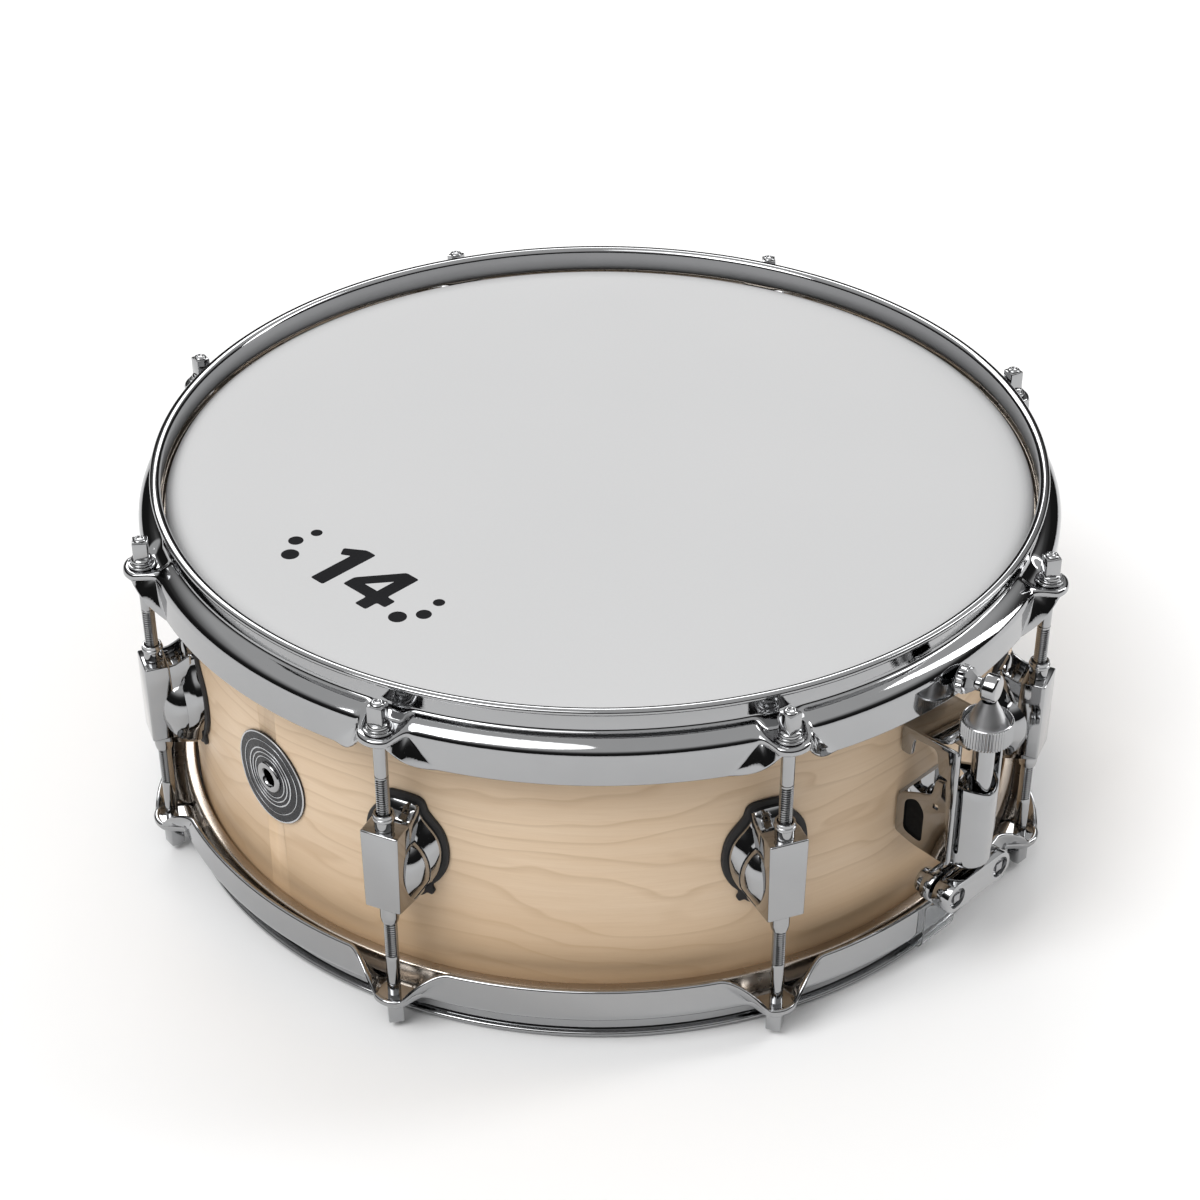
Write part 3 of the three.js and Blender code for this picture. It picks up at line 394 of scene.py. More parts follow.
def lathe(profile, steps=48):
    """Turns an open profile of (radius, z), from axis to axis or as a closed ring, about Z."""
    ring = profile[0][0] > 1e-6
    verts, faces = [], []
    columns = []
    for r, z in profile:
        if r <= 1e-6:
            columns.append([len(verts)] * steps)
            verts.append((0, 0, z))
            continue
        start = len(verts)
        columns.append([start + k for k in range(steps)])
        for k in range(steps):
            a = 2 * math.pi * k / steps
            verts.append((r * math.cos(a), r * math.sin(a), z))
    pairs = list(zip(columns, columns[1:]))
    if ring:
        pairs.append((columns[-1], columns[0]))
    for low, high in pairs:
        for k in range(steps):
            n = (k + 1) % steps
            corners = [low[k], low[n], high[n], high[k]]
            corners = [c for i, c in enumerate(corners) if c not in corners[:i]]
            if len(corners) > 2:
                faces.append(corners)
    return solid(verts, faces)


def rounded_profile(points, radius=0.4, closed=False, cuts=2):
    """The profile with each corner replaced by a short arc. A radius of 0 keeps the corner."""
    out = []
    count = len(points)
    for i, p in enumerate(points):
        r = p[2] if len(p) > 2 else radius
        here = Vector(p[:2])
        if (not closed and i in (0, count - 1)) or r <= 0:
            out.append(tuple(here))
            continue
        before, after = Vector(points[i - 1][:2]), Vector(points[(i + 1) % count][:2])
        a, b = before - here, after - here
        reach = min(r, a.length * 0.45, b.length * 0.45)
        a, b = here + a.normalized() * reach, here + b.normalized() * reach
        for k in range(cuts + 2):
            t = k / (cuts + 1)
            q = a * (1 - t) ** 2 + here * (2 * t * (1 - t)) + b * t * t
            out.append(tuple(q))
    return out


def prism(outline, low, high, axis="x"):
    """A straight prism on an outline of (u, v), between two places along an axis."""
    place = {"x": lambda u, v, w: (w, u, v), "y": lambda u, v, w: (u, w, v),
             "z": lambda u, v, w: (u, v, w)}[axis]
    count = len(outline)
    verts = [place(u, v, low) for u, v in outline] + [place(u, v, high) for u, v in outline]
    faces = [[i, (i + 1) % count, count + (i + 1) % count, count + i] for i in range(count)]
    faces += [list(range(count)), list(range(2 * count - 1, count - 1, -1))]
    return solid(verts, faces)


def block(x, y, z):
    return prism([(x[0], y[0]), (x[1], y[0]), (x[1], y[1]), (x[0], y[1])], z[0], z[1], "z")


def loft(rows):
    """Joins rows of equally many places into a closed skin with flat ends."""
    verts = [tuple(p) for row in rows for p in row]
    count = len(rows[0])
    faces = []
    for k in range(len(rows) - 1):
        for i in range(count):
            n = (i + 1) % count
            faces.append([k * count + i, k * count + n, (k + 1) * count + n, (k + 1) * count + i])
    faces.append(list(range(count)))
    faces.append([(len(rows) - 1) * count + i for i in range(count)][::-1])
    return solid(verts, faces)


def swept_ring(verts, rings, size):
    """A closed ring of equal sections, each with the same number of places."""
    faces = []
    for k in range(rings):
        n = (k + 1) % rings
        for j in range(size):
            m = (j + 1) % size
            faces.append([k * size + j, n * size + j, n * size + m, k * size + m])
    return solid(verts, faces)


def four_sided(verts):
    """A bar between two four-cornered ends."""
    ends = [[0, 1, 2, 3], [7, 6, 5, 4]]
    return solid(verts, ends + [[i, (i + 1) % 4, 4 + (i + 1) % 4, 4 + i] for i in range(4)])


def softened(bm, width, segments=2, angle=25):
    """Rounds every edge that is sharper than the angle."""
    bmesh.ops.recalc_face_normals(bm, faces=bm.faces)
    limit = math.radians(angle)
    edges = [e for e in bm.edges if len(e.link_faces) == 2 and e.calc_face_angle() > limit]
    bmesh.ops.bevel(bm, geom=edges, offset=width, segments=segments, profile=0.5,
                    affect="EDGES", clamp_overlap=True)
    return bm


def moved(bm, offset=(0, 0, 0), turn=None, scale=None):
    matrix = Matrix.Translation(Vector(offset))
    if turn:
        matrix = matrix @ Matrix.Rotation(math.radians(turn[1]), 4, turn[0])
    if scale:
        matrix = matrix @ Matrix.Diagonal((*scale, 1))
    bmesh.ops.transform(bm, matrix=matrix, verts=bm.verts)
    return bm


def facing_out(bm, place):
    """A part turned about Z, laid over to point outwards and put in its place."""
    return moved(moved(bm, turn=("Y", 90)), place)


def joined(parts):
    mesh = bpy.data.meshes.new("part")
    whole = bmesh.new()
    for bm in parts:
        bm.to_mesh(mesh)
        whole.from_mesh(mesh)
        bm.free()
    bpy.data.meshes.remove(mesh)
    return whole


def add_piece(name, parts, material, angle=0.0, body="drum", stands_for=(), slot=None, sharp=32):
    """Makes one object from solids in millimetres and joins it to its body."""
    whole = joined(parts) if isinstance(parts, list) else parts
    bmesh.ops.recalc_face_normals(whole, faces=whole.faces)
    turn = Matrix.Rotation(math.radians(angle), 4, "Z")
    bmesh.ops.transform(whole, matrix=turn @ Matrix.Scale(MM, 4), verts=whole.verts)
    mesh = bpy.data.meshes.new(name)
    whole.to_mesh(mesh)
    whole.free()
    mesh.shade_smooth()
    mesh.set_sharp_from_angle(angle=math.radians(sharp))
    mesh.materials.append(material)
    piece = bpy.data.objects.new(name, mesh)
    bpy.context.scene.collection.objects.link(piece)
    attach(piece, body)
    if stands_for:
        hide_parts(*stands_for)
    return piece


def mix(a, b, t):
    return a + (b - a) * t


def smooth(t):
    t = min(max(t, 0.0), 1.0)
    return t * t * (3 - 2 * t)


# ---------------------------------------------------------------- hoops

EAR_TIP = 202.3
EAR_HALF = 5.2
EAR_SHOULDER = 11.0
CREASE_TOP = 10.5
CREASE_END = 22.0
EAR_DROP = 14.2
GATE = [(-13, 2.5), (13, 2.5), (13, 9.0), (-13, 9.0)]


def hoop_line(s):
    """The sheet's middle line (radius, drop) at a distance along the side from a rod."""
    half = SHEET / 2
    ear = smooth((EAR_SHOULDER - s) / (EAR_SHOULDER - EAR_HALF))
    tip = EAR_TIP - 0.055 * s * s if s < EAR_HALF else EAR_TIP - 1.5
    fold = mix(SKIRT_RADIUS, tip, ear)
    fold_drop = mix(15.2, EAR_DROP + half, ear)
    ledge_drop = mix(11.4 + half, EAR_DROP + half, ear)
    flare = min(max((CREASE_END - s) / (CREASE_END - EAR_HALF), 0.0), 1.0)
    edge = mix(SKIRT_RADIUS, tip, smooth(flare) * 0.55 + flare * 0.45)
    edge_drop = mix(SKIRT_DROP, 16.9, flare ** 2.1)
    crease = min(max((s - CREASE_TOP) / (CREASE_END - CREASE_TOP), 0.0), 1.0)
    knee_drop = min(mix(fold_drop + 1.6, SKIRT_DROP - 0.4, crease), edge_drop - 0.15)
    knee = SKIRT_RADIUS if s > EAR_SHOULDER else mix(SKIRT_RADIUS, fold, ear)
    points = [
        (RIM_RADIUS - half, half, 0), (HOOP_BORE + half, half, 2.6), (HOOP_BORE + half, 10.8, 3.4),
        (187.6, ledge_drop, 2.0), (fold - half, fold_drop, 3.4),
        (knee - half, knee_drop, 3.6), (edge - half, edge_drop, 0),
    ]
    return rounded_profile(points, cuts=4)


def sheet_section(line, thickness):
    """Both faces of a sheet, with rounded edges, around its middle line."""
    count = len(line)
    sides = ([], [])
    for i in range(count):
        a, b = Vector(line[max(i - 1, 0)]), Vector(line[min(i + 1, count - 1)])
        along = (b - a).normalized()
        across = Vector((-along.y, along.x)) * thickness / 2
        here = Vector(line[i])
        sides[0].append(here + across)
        sides[1].append(here - across)
    ends = []
    for end, inner in ((0, 1), (count - 1, count - 2)):
        out = (Vector(line[end]) - Vector(line[inner])).normalized() * thickness * 0.3
        a, b = sides[0][end], sides[1][end]
        ends.append([mix(a, b, 0.2) + out * 0.8, mix(a, b, 0.5) + out, mix(a, b, 0.8) + out * 0.8])
    return sides[0] + ends[1] + sides[1][::-1] + ends[0][::-1]


def hoop_stations():
    """Places along the side, from one rod to the next: close together round the ears."""
    span = 2 * math.pi * SKIRT_RADIUS / 8
    near = [0, 1.2, 2.4, 3.4, 4.4, 5.2, 6, 6.8, 7.6, 8.4, 9.2, 10, 10.8, 11.6, 12.5, 13.5, 14.5,
            15.5, 16.5, 17.5, 18.5, 19.5, 20.5, 21.5, 22.5, 24, 27]
    step = (span / 2 - near[-1]) / 12
    flat = [near[-1] + step * k for k in range(1, 13)]
    half = near + flat
    return span, half + [span - s for s in half[-2:0:-1]]


def hoop_solid(side):
    span, stations = hoop_stations()
    verts = []
    for i in range(8):
        for s in stations:
            angle = math.radians(ROD_ANGLES[i] + 45 * s / span)
            section = sheet_section(hoop_line(min(s, span - s)), SHEET)
            for r, drop in section:
                z = MID + side * (MID - drop)
                verts.append((r * math.cos(angle), r * math.sin(angle), z))
    return swept_ring(verts, 8 * len(stations), len(section))


def cut_with(piece, cutters):
    """Cuts closed solids, in metres, out of a piece."""
    mesh = bpy.data.meshes.new("cutter")
    whole = joined(cutters)
    bmesh.ops.recalc_face_normals(whole, faces=whole.faces)
    bmesh.ops.transform(whole, matrix=Matrix.Scale(MM, 4), verts=whole.verts)
    whole.to_mesh(mesh)
    whole.free()
    cutter = bpy.data.objects.new("cutter", mesh)
    bpy.context.scene.collection.objects.link(cutter)
    modifier = piece.modifiers.new("cut", "BOOLEAN")
    modifier.object = cutter
    modifier.solver = "EXACT"
    graph = bpy.context.evaluated_depsgraph_get()
    result = bpy.data.meshes.new_from_object(piece.evaluated_get(graph))
    piece.modifiers.clear()
    old = piece.data
    piece.data = result
    bpy.data.objects.remove(cutter)
    bpy.data.meshes.remove(old)


def add_hoops():
    add_piece("batter_hoop_fine", hoop_solid(1), CHROME, stands_for=["batter_hoop"],
              slot="chrome", sharp=50)
    low = add_piece("snare_hoop_fine", hoop_solid(-1), CHROME, stands_for=["snare_side_hoop"],
                    slot="chrome", sharp=50)
    gates = []
    for turn in (0, 180):
        outline = rounded_profile(GATE, 1.4, True)
        gates.append(moved(prism(outline, 176, 186.9), turn=("Z", STRAINER_ANGLE + turn)))
    cut_with(low, gates)


# ---------------------------------------------------------------- shell and heads


def add_shell():
    inner = SHELL_RADIUS - SHELL_WALL
    edge = SHELL_HALF
    ring = [(inner, -edge + 5, 0.6), (inner + 5, -edge, 0.5), (SHELL_RADIUS, -edge + 1.2, 1.0),
            (SHELL_RADIUS, edge - 1.2, 1.0), (inner + 5, edge, 0.5), (inner, edge - 5, 0.6)]
    body = moved(lathe(rounded_profile(ring, closed=True, cuts=3), STEPS_ROUND * 2), (0, 0, MID))
    shell = add_piece("shell_wood", body, MAPLE, stands_for=["shell"], slot="maple_shell")
    hole = lathe([(0, 165), (5.1, 165), (5.1, 182), (0, 182)], 32)
    hole = moved(moved(hole, turn=("Y", 90)), turn=("Z", BADGE_ANGLE))
    cut_with(shell, [moved(hole, (0, 0, MID))])


def film_profile(side):
    """A head's film, drawn over the bearing edge and down into its flesh hoop."""
    top = SHELL_HALF + 0.8
    peak = SHELL_RADIUS - 1.0
    outer = [(0, top), (peak - 9, top), (peak - 2.5, top - 0.05), (peak, top - 0.5),
             (179.6, top - 1.9), (180.7, top - 4.2), (180.95, top - 7.3)]
    inner = [(r - 0.5 if r > 175 else r, z - 0.5) for r, z in outer[::-1]]
    return [(r, MID + side * z) for r, z in outer + inner]


def add_heads():
    for side, node, material, slot in ((1, "batter_head_film", COATED, "coated_film"),
                                       (-1, "snare_head_film", CLEAR, "clear_film")):
        add_piece(node + "_fine", lathe(film_profile(side), STEPS_ROUND), material,
                  stands_for=[node], slot=slot, sharp=60)
    for side, node in ((1, "batter_flesh_hoop"), (-1, "snare_flesh_hoop")):
        low, high = foot_of(node) - MID, top_of(node) - MID
        near, far = (low, high) if side > 0 else (-high, -low)
        ring = [(179.4, near, 0.8), (184.2, near, 1.4), (184.2, far, 1.0), (181.7, far, 0.3),
                (181.7, far - 4, 0.3), (179.4, far - 4, 0.5)]
        ring = rounded_profile(ring, closed=True, cuts=3)
        body = lathe([(r, MID + side * z) for r, z in ring], STEPS_ROUND)
        add_piece(node + "_fine", body, ALUMINIUM, stands_for=[node], slot="satin_aluminium")


# ---------------------------------------------------------------- tension rods


def threaded(radius, low, high, pitch=1.06, depth=0.34, steps=20):
    """A closed bar with a real screw thread between two heights."""
    rows = int((high - low) / (pitch / 6))
    verts, faces = [(0, 0, low)], []
    for i in range(rows + 1):
        z = low + (high - low) * i / rows
        fade = min(1.0, i / 5, (rows - i) / 5)
        for k in range(steps):
            a = 2 * math.pi * k / steps
            phase = ((z - low) / pitch - k / steps) % 1.0
            ridge = 1 - abs(2 * phase - 1)
            r = radius - depth * (1 - ridge) * fade
            verts.append((r * math.cos(a), r * math.sin(a), z))
    verts.append((0, 0, high))
    last = len(verts) - 1
    for k in range(steps):
        n = (k + 1) % steps
        faces.append([0, 1 + n, 1 + k])
        for i in range(rows):
            a, b = 1 + i * steps, 1 + (i + 1) * steps
            faces.append([a + k, a + n, b + n, b + k])
        faces.append([last, 1 + rows * steps + k, 1 + rows * steps + n])
    return solid(verts, faces)


ROD_END = foot_of("batter_rod_1") - MID
WASHER_LOW = MID - EAR_DROP + 0.3


def rod_head():
    """The square head: a domed top with a dimple, on a round shoulder."""
    base = WASHER_LOW + 2.6
    half = 3.1
    body = softened(block((-half, half), (-half, half), (base, base + 8.6)), 0.55, 2)
    dome = [(0, base + 8.3), (2.95, base + 8.3), (2.6, base + 9.3, 0.8), (1.5, base + 9.75, 0.4),
            (1.2, base + 9.0, 0.3), (0, base + 8.9)]
    dome = lathe(rounded_profile(dome), 24)
    shoulder = lathe(rounded_profile([(0, base - 1.0), (4.4, base - 1.0), (4.4, base + 0.2),
                                      (3.6, base + 1.0, 0.5), (0, base + 1.0)], 0.35), 28)
    return [body, dome, shoulder]


def washers():
    low = WASHER_LOW
    metal_ring = [(2.75, low, 0.1), (5.75, low, 0.35), (5.75, low + 0.9, 0.35),
                  (2.75, low + 0.9, 0.1)]
    upper_ring = [(2.75, low + 0.95, 0.1), (5.0, low + 0.95, 0.3), (4.7, low + 1.6, 0.3),
                  (2.75, low + 1.6, 0.1)]
    return [lathe(rounded_profile(r, closed=True), 32) for r in (metal_ring, upper_ring)]


def add_rods():
    for side, stem in ((1, "batter_rod"), (-1, "snare_rod")):
        for i, angle in enumerate(ROD_ANGLES):
            shank = [(0, 43.4), (2.35, 43.4), (ROD_RADIUS, 44.6), (ROD_RADIUS, MID - 10),
                     (0, MID - 10)]
            parts = [threaded(ROD_RADIUS, ROD_END, 44.0), lathe(rounded_profile(shank, 0.2), 24)]
            parts += rod_head() + washers()
            whole = joined(parts)
            if side < 0:
                flip = Matrix.Diagonal((1, 1, -1, 1))
                bmesh.ops.transform(whole, matrix=flip, verts=whole.verts)
            moved(whole, turn=("Z", 17 * i + (40 if side < 0 else 8)))
            moved(whole, (ROD_CIRCLE, 0, MID))
            name = f"{stem}_{i + 1}"
            add_piece(name + "_fine", whole, CHROME, angle, body=name + "_body",
                      stands_for=[name], slot="chrome", sharp=40)


# ---------------------------------------------------------------- lugs


def closed_curve(points, count):
    """A smooth closed curve through the points, as evenly numbered (u, v) places."""
    out = []
    n = len(points)
    for k in range(count):
        t = k * n / count
        i, f = int(t), t - int(t)
        p = [Vector(points[(i + j - 1) % n]) for j in range(4)]
        q = 0.5 * ((2 * p[1]) + (p[2] - p[0]) * f + (2 * p[0] - 5 * p[1] + 4 * p[2] - p[3]) * f * f
                   + (3 * p[1] - p[0] - 3 * p[2] + p[3]) * f ** 3)
        out.append((q.x, q.y))
    return out


def mirrored(half):
    """A closed outline from its right half, listed from the top to the bottom."""
    return half + [(-u, v) for u, v in half[::-1]]


GASKET_HALF = [(3.0, 24.9), (6.4, 24.3), (8.4, 22.8), (9.2, 20.6), (9.7, 18.9), (11.6, 16.2),
               (14.1, 13.1), (16.2, 9.4), (17.4, 4.6), (17.8, -0.3), (17.3, -5.0), (16.0, -9.2),
               (13.7, -13.4), (11.2, -16.3), (10.4, -18.2), (11.2, -20.0), (10.2, -22.0),
               (8.2, -21.8), (6.6, -23.2), (4.2, -24.6), (1.6, -25.2)]
BASE_HALF = [(2.6, 22.5), (5.4, 22.0), (7.1, 20.4), (7.5, 18.4), (8.4, 15.9), (10.4, 13.2),
             (12.6, 10.6), (14.4, 7.4), (15.5, 3.4), (15.7, -0.4), (15.2, -4.6), (14.0, -8.8),
             (12.0, -12.8), (9.6, -16.8), (7.6, -20.2), (5.6, -22.4), (3.2, -23.0), (1.2, -23.2)]
DOME_CENTRE = -4.4
DOME_HALF_WIDTH = 13.5
DOME_UP = 16.0
DOME_DOWN = 19.2
DOME_RISE = 12.8


def on_shell(radius, u, v):
    """A place at a height above the shell's outside."""
    return (math.sqrt(radius * radius - u * u), u, v)


def pad(outline, layers):
    """A pad over the shell: an outline shrunk by each layer's inset, at each layer's radius."""
    count = len(outline)
    rows = []
    for inset, radius in layers:
        row = []
        for i in range(count):
            a, b = Vector(outline[i - 1]), Vector(outline[(i + 1) % count])
            along = (b - a).normalized()
            inward = Vector((along.y, -along.x))
            if inward.dot(Vector(outline[i])) > 0:
                inward = -inward
            u, v = Vector(outline[i]) + inward * inset
            row.append(on_shell(radius, u, v))
        rows.append(row)
    return loft(rows)


def dome_solid():
    """The rounded middle of the lug: a low skirt up to a rim, then a bulging dome."""
    outline = closed_curve(mirrored(BASE_HALF), 72)
    rows = []

    def rim(direction):
        up = DOME_UP if direction.y > 0 else DOME_DOWN
        return 1 / math.sqrt((direction.x / DOME_HALF_WIDTH) ** 2 + (direction.y / up) ** 2)

    centre = Vector((0, DOME_CENTRE))
    rays = [Vector(p) - centre for p in outline]
    base = SHELL_RADIUS + 2.1
    for share, lift in ((0.0, -1.4), (0.0, 1.3), (0.08, 2.2), (0.5, 4.2), (0.92, 5.9), (0.97, 5.9)):
        row = []
        for ray in rays:
            edge, inner = ray.length, min(rim(ray.normalized()), ray.length * 0.94)
            at = centre + ray.normalized() * mix(edge, inner, share)
            row.append(on_shell(base + lift, at.x, at.y))
        rows.append(row)
    for k in range(13):
        t = k / 13
        row = []
        for ray in rays:
            inner = min(rim(ray.normalized()), ray.length * 0.94)
            at = centre + ray.normalized() * inner * math.cos(t * math.pi / 2) * 0.985
            lift = 5.2 + (DOME_RISE - 1.4) * math.sin(t * math.pi / 2) ** 0.92
            row.append(on_shell(base + lift, at.x, at.y))
        rows.append(row)
    return loft(rows)


def column_solid():
    """The post in front: a tapered bar with bright bevelled edges, run back into the dome."""
    front = 199.8
    top, foot = MID + 19.4, MID - 17.2
    verts = []
    for z, half, back in ((top, 7.9, 189.6), (foot, 7.45, 188.0)):
        verts += [(back, -half, z), (front, -half, z), (front, half, z), (back, half, z)]
    return softened(four_sided(verts), 0.75, 3)


def foot_web():
    """The wedge that runs from the column's lower end back to the shell."""
    verts = []
    for x, half, low, high in ((181.0, 5.8, MID - 23.2, MID - 10),
                               (199.0, 7.3, MID - 17.6, MID - 6)):
        verts += [(x, -half, low), (x, half, low), (x, half, high), (x, -half, high)]
    return softened(four_sided(verts), 0.5, 2)


def arch_part():
    """The arch behind the collar: a scooped floor between two thin side webs."""
    def side(top):
        return [(180.6, 4.0)] + top + [(192.0, 17.0), (192.0, 4.0)]
    scoop = [(180.6, 20.8), (182.2, 20.4), (183.6, 18.6), (185.2, 16.6), (187.4, 15.6),
             (190.0, 16.2)]
    crest = [(180.6, 22.0), (182.2, 21.6), (184.6, 20.2), (187.2, 19.0), (190.0, 18.6)]
    floor = softened(prism(side(scoop), -6.9, 6.9, "y"), 0.35, 2)
    parts = [floor]
    for sign in (-1, 1):
        a, b = sorted((sign * 6.5, sign * 7.6))
        parts.append(softened(prism(side(crest), a, b, "y"), 0.4, 2))
    return [moved(p, (0, 0, MID)) for p in parts]


def sleeve_profile():
    top, foot = 19.6, -17.4
    upper = [(3.12, top + 7.2, 0.2), (3.95, top + 7.2, 0.25), (3.95, top + 5.9, 0.2),
             (4.35, top + 5.7, 0.2), (4.35, top + 4.5, 0.25), (3.85, top + 4.2, 0.2),
             (3.85, top + 0.4, 0.3), (3.5, top, 0.2)]
    lower = [(3.5, foot, 0.2), (3.75, foot - 0.4, 0.2), (3.75, foot - 6.2, 0.3),
             (3.35, foot - 8.4, 0.4), (3.12, foot - 8.6, 0.1)]
    return rounded_profile(upper + lower, closed=True, cuts=2)


def add_lugs():
    gasket = closed_curve(mirrored(GASKET_HALF), 120)
    for i, angle in enumerate(ROD_ANGLES):
        n = i + 1
        base = SHELL_RADIUS + 0.3
        layers = [(0.0, base), (0.0, base + 0.9), (0.15, base + 1.25), (0.5, base + 1.45)]
        add_piece(f"lug_gasket_{n}_fine", moved(pad(gasket, layers), (0, 0, MID)), RUBBER, angle,
                  stands_for=[f"lug_gasket_{n}"], slot="rubber")
        parts = [moved(dome_solid(), (0, 0, MID)), column_solid(), foot_web()] + arch_part()
        add_piece(f"lug_{n}_fine", parts, CHROME, angle, stands_for=[f"lug_{n}"], slot="chrome",
                  sharp=38)
        sleeve = moved(lathe(sleeve_profile(), 32), (ROD_CIRCLE, 0, MID))
        add_piece(f"lug_insert_{n}_fine", sleeve, CHROME, angle, stands_for=[f"lug_insert_{n}"],
                  slot="chrome")


# ---------------------------------------------------------------- badge, vent and head mark


def shell_ring(inner, outer, low, high, steps=96):
    """A flat ring lying on the shell, in a badge's own frame (height up, side across)."""
    verts = []
    profile = [(inner, low), (outer, low), (outer, high - 0.12), (outer - 0.12, high),
               (inner + 0.12, high), (inner, high - 0.12)]
    for k in range(steps):
        a = 2 * math.pi * k / steps
        for r, lift in profile:
            u, v = r * math.cos(a), r * math.sin(a)
            verts.append((math.sqrt((SHELL_RADIUS + lift) ** 2 - u * u), u, v + MID))
    return swept_ring(verts, steps, len(profile))


def add_badge():
    plate = shell_ring(4.9, BADGE_RADIUS, 0.3, 0.95)
    add_piece("badge_plate", plate, BADGE_BLACK, BADGE_ANGLE, stands_for=["badge_vent"],
              slot="badge")
    rings = [(19.7, 20.45), (12.6, 13.3), (10.7, 11.3), (8.9, 9.4), (16.4, 16.8)]
    parts = [shell_ring(a, b, 0.9, 1.12) for a, b in rings]
    add_piece("badge_rings", parts, BADGE_SILVER, BADGE_ANGLE, slot="badge")
    grommet = rounded_profile([(3.6, 170.0), (4.8, 170.0), (4.8, 178.6), (7.0, 178.6, 0.4),
                               (6.6, 179.7, 0.6), (4.4, 179.9, 0.6), (3.6, 178.8, 0.5)], 0.2, True)
    body = facing_out(lathe(grommet, 48), (0, 0, MID))
    add_piece("vent_grommet", body, CHROME, BADGE_ANGLE, slot="badge")


def add_head_mark():
    """The head's size in inches, with a row of dots at each side."""
    one = [(-9.5, -10), (-4.5, -10), (-4.5, 10), (-8.2, 10), (-14.0, 6.2), (-12.2, 3.4),
           (-9.5, 5.0)]
    four = [(9.0, -10), (13.4, -10), (13.4, -5.8), (16.6, -5.8), (16.6, -1.8), (13.4, -1.8),
            (13.4, 10), (8.4, 10), (-0.6, -1.6), (-0.6, -5.8), (9.0, -5.8)]
    gap = [(9.1, -1.8), (9.1, 4.6), (4.0, -1.8)]
    face = top_of("batter_head_film")
    low, high = face - 0.06, face + 0.05
    parts = [prism(rounded_profile(one, 0.7, True), low, high, "z")]
    marks = add_piece("head_mark", parts + [prism(rounded_profile(four, 0.7, True), low, high, "z")]
                      + head_dots(low, high), INK, slot="badge")
    cut_with(marks, [prism(gap, low - 1, high + 1, "z")])
    turn = Matrix.Translation((-0.091, -0.088, 0)) @ Matrix.Rotation(math.radians(-42), 4, "Z")
    turn = turn @ Matrix.Diagonal((1.4, 1.4, 1, 1))
    marks.data.transform(turn)


def head_dots(low, high):
    dots = []
    for side in (-1, 1):
        for x, y, r in ((22.5, -6.4, 2.6), (26.8, -0.6, 2.2), (25.6, 6.2, 1.7)):
            ring = [(side * x + r * math.cos(t * math.pi / 12), y + r * math.sin(t * math.pi / 12))
                    for t in range(24)]
            dots.append(prism(ring, low, high, "z"))
    return dots


# ---------------------------------------------------------------- strainer

STRAINER_TOP = top_of("strainer_bracket")
STRAINER_FOOT = foot_of("strainer_bracket")
BRACKET_FRONT = STRAINER_RADIUS - 1.0
BRACKET_HALF = 14.5
COVER_HEIGHT = 38.4
COVER_DIP = 3.4
CLAMP_END_RADIUS = 6.6
CLAMP_SCREW_SIDE = 13.4
KNOB_RIM = 9.8
LEVER_SWIVEL = 15
BARREL_TOP = top_of("strainer_housing")
COVER_FOOT = foot_of("strainer_housing")
COVER_TOP = COVER_FOOT + COVER_HEIGHT
CLAMP_Z = (foot_of("strainer_clamp_plate") + top_of("strainer_clamp_plate")) / 2
CLAMP_FACE = STRAINER_RADIUS - 3.8


def bracket_wall():
    """Side view (x, z) of a wall: rolled tab, thin arm, spine and wide foot."""
    top, foot = STRAINER_TOP, STRAINER_FOOT
    back = SHELL_RADIUS + 0.5
    return rounded_profile([
        (back, top, 2.0), (back, top - 12.2, 1.2), (back + 5.4, top - 12.6, 2.4),
        (back + 6.2, top - 3.6, 1.8),
        (BRACKET_FRONT - 10.5, top - 3.2, 2.5), (BRACKET_FRONT - 8.5, top - 14.0, 0.6),
        (BRACKET_FRONT - 4.6, top - 14.4, 0.6), (BRACKET_FRONT - 4.6, top - 16.4, 0.6),
        (BRACKET_FRONT - 9.6, top - 17.2, 1.5), (BRACKET_FRONT - 11.0, foot + 29.0, 3.0),
        (back + 9.0, foot + 26.5, 4.0), (back, foot + 22.0, 3.0), (back, foot + 3.5, 1.5),
        (back + 8.0, foot + 1.2, 4.0), (BRACKET_FRONT, foot, 2.2), (BRACKET_FRONT, top, 2.2),
    ], closed=True, cuts=3)


def bracket_webs():
    """Everything between the two walls: roof, front plates beside the cover, and footing."""
    top, foot = STRAINER_TOP, STRAINER_FOOT
    back = SHELL_RADIUS + 0.5
    side = BRACKET_HALF - 0.2
    roof = rounded_profile([(back, -side, 1.5), (back + 10, -side, 0.8),
                            (BRACKET_FRONT - 7, -10.4, 3), (BRACKET_FRONT - 7, 10.4, 3),
                            (back + 10, side, 0.8), (back, side, 1.5)], closed=True)
    roof = [(math.sqrt(max(x * x, back * back) - y * y) if x < back + 1 else x, y) for x, y in roof]
    webs = [softened(prism(roof, top - 1.9, top - 0.1, "z"), 0.5, 2, 50)]
    for sign in (-1, 1):
        low, high = sorted((sign * 9.85, sign * (BRACKET_HALF - 1.0)))
        webs.append(softened(block((BRACKET_FRONT - 4.2, BRACKET_FRONT - 2.4), (low, high),
                                   (foot + 1.0, COVER_TOP - 2.0)), 0.3, 2))
    footing = rounded_profile([(back, -13), (back + 1.6, -13), (back + 1.6, 13), (back, 13)],
                              0.3, True)
    footing = [(x - (back - math.sqrt(back * back - y * y)), y) for x, y in footing]
    webs.append(prism(footing, foot + 3.6, foot + 21.6, "z"))
    return webs


def button_head(rim, shoulder, crown, dimple, place):
    """A round screw head, given the heights of its rim, shoulder, crown and dimple."""
    head = [(0, 0), (3.6, 0), (3.6, rim, 0.5), (2.6, shoulder, 0.7), (1.4, crown, 0.2),
            (1.3, dimple, 0.1), (0, dimple)]
    return facing_out(lathe(rounded_profile(head, 0.1), 24), place)


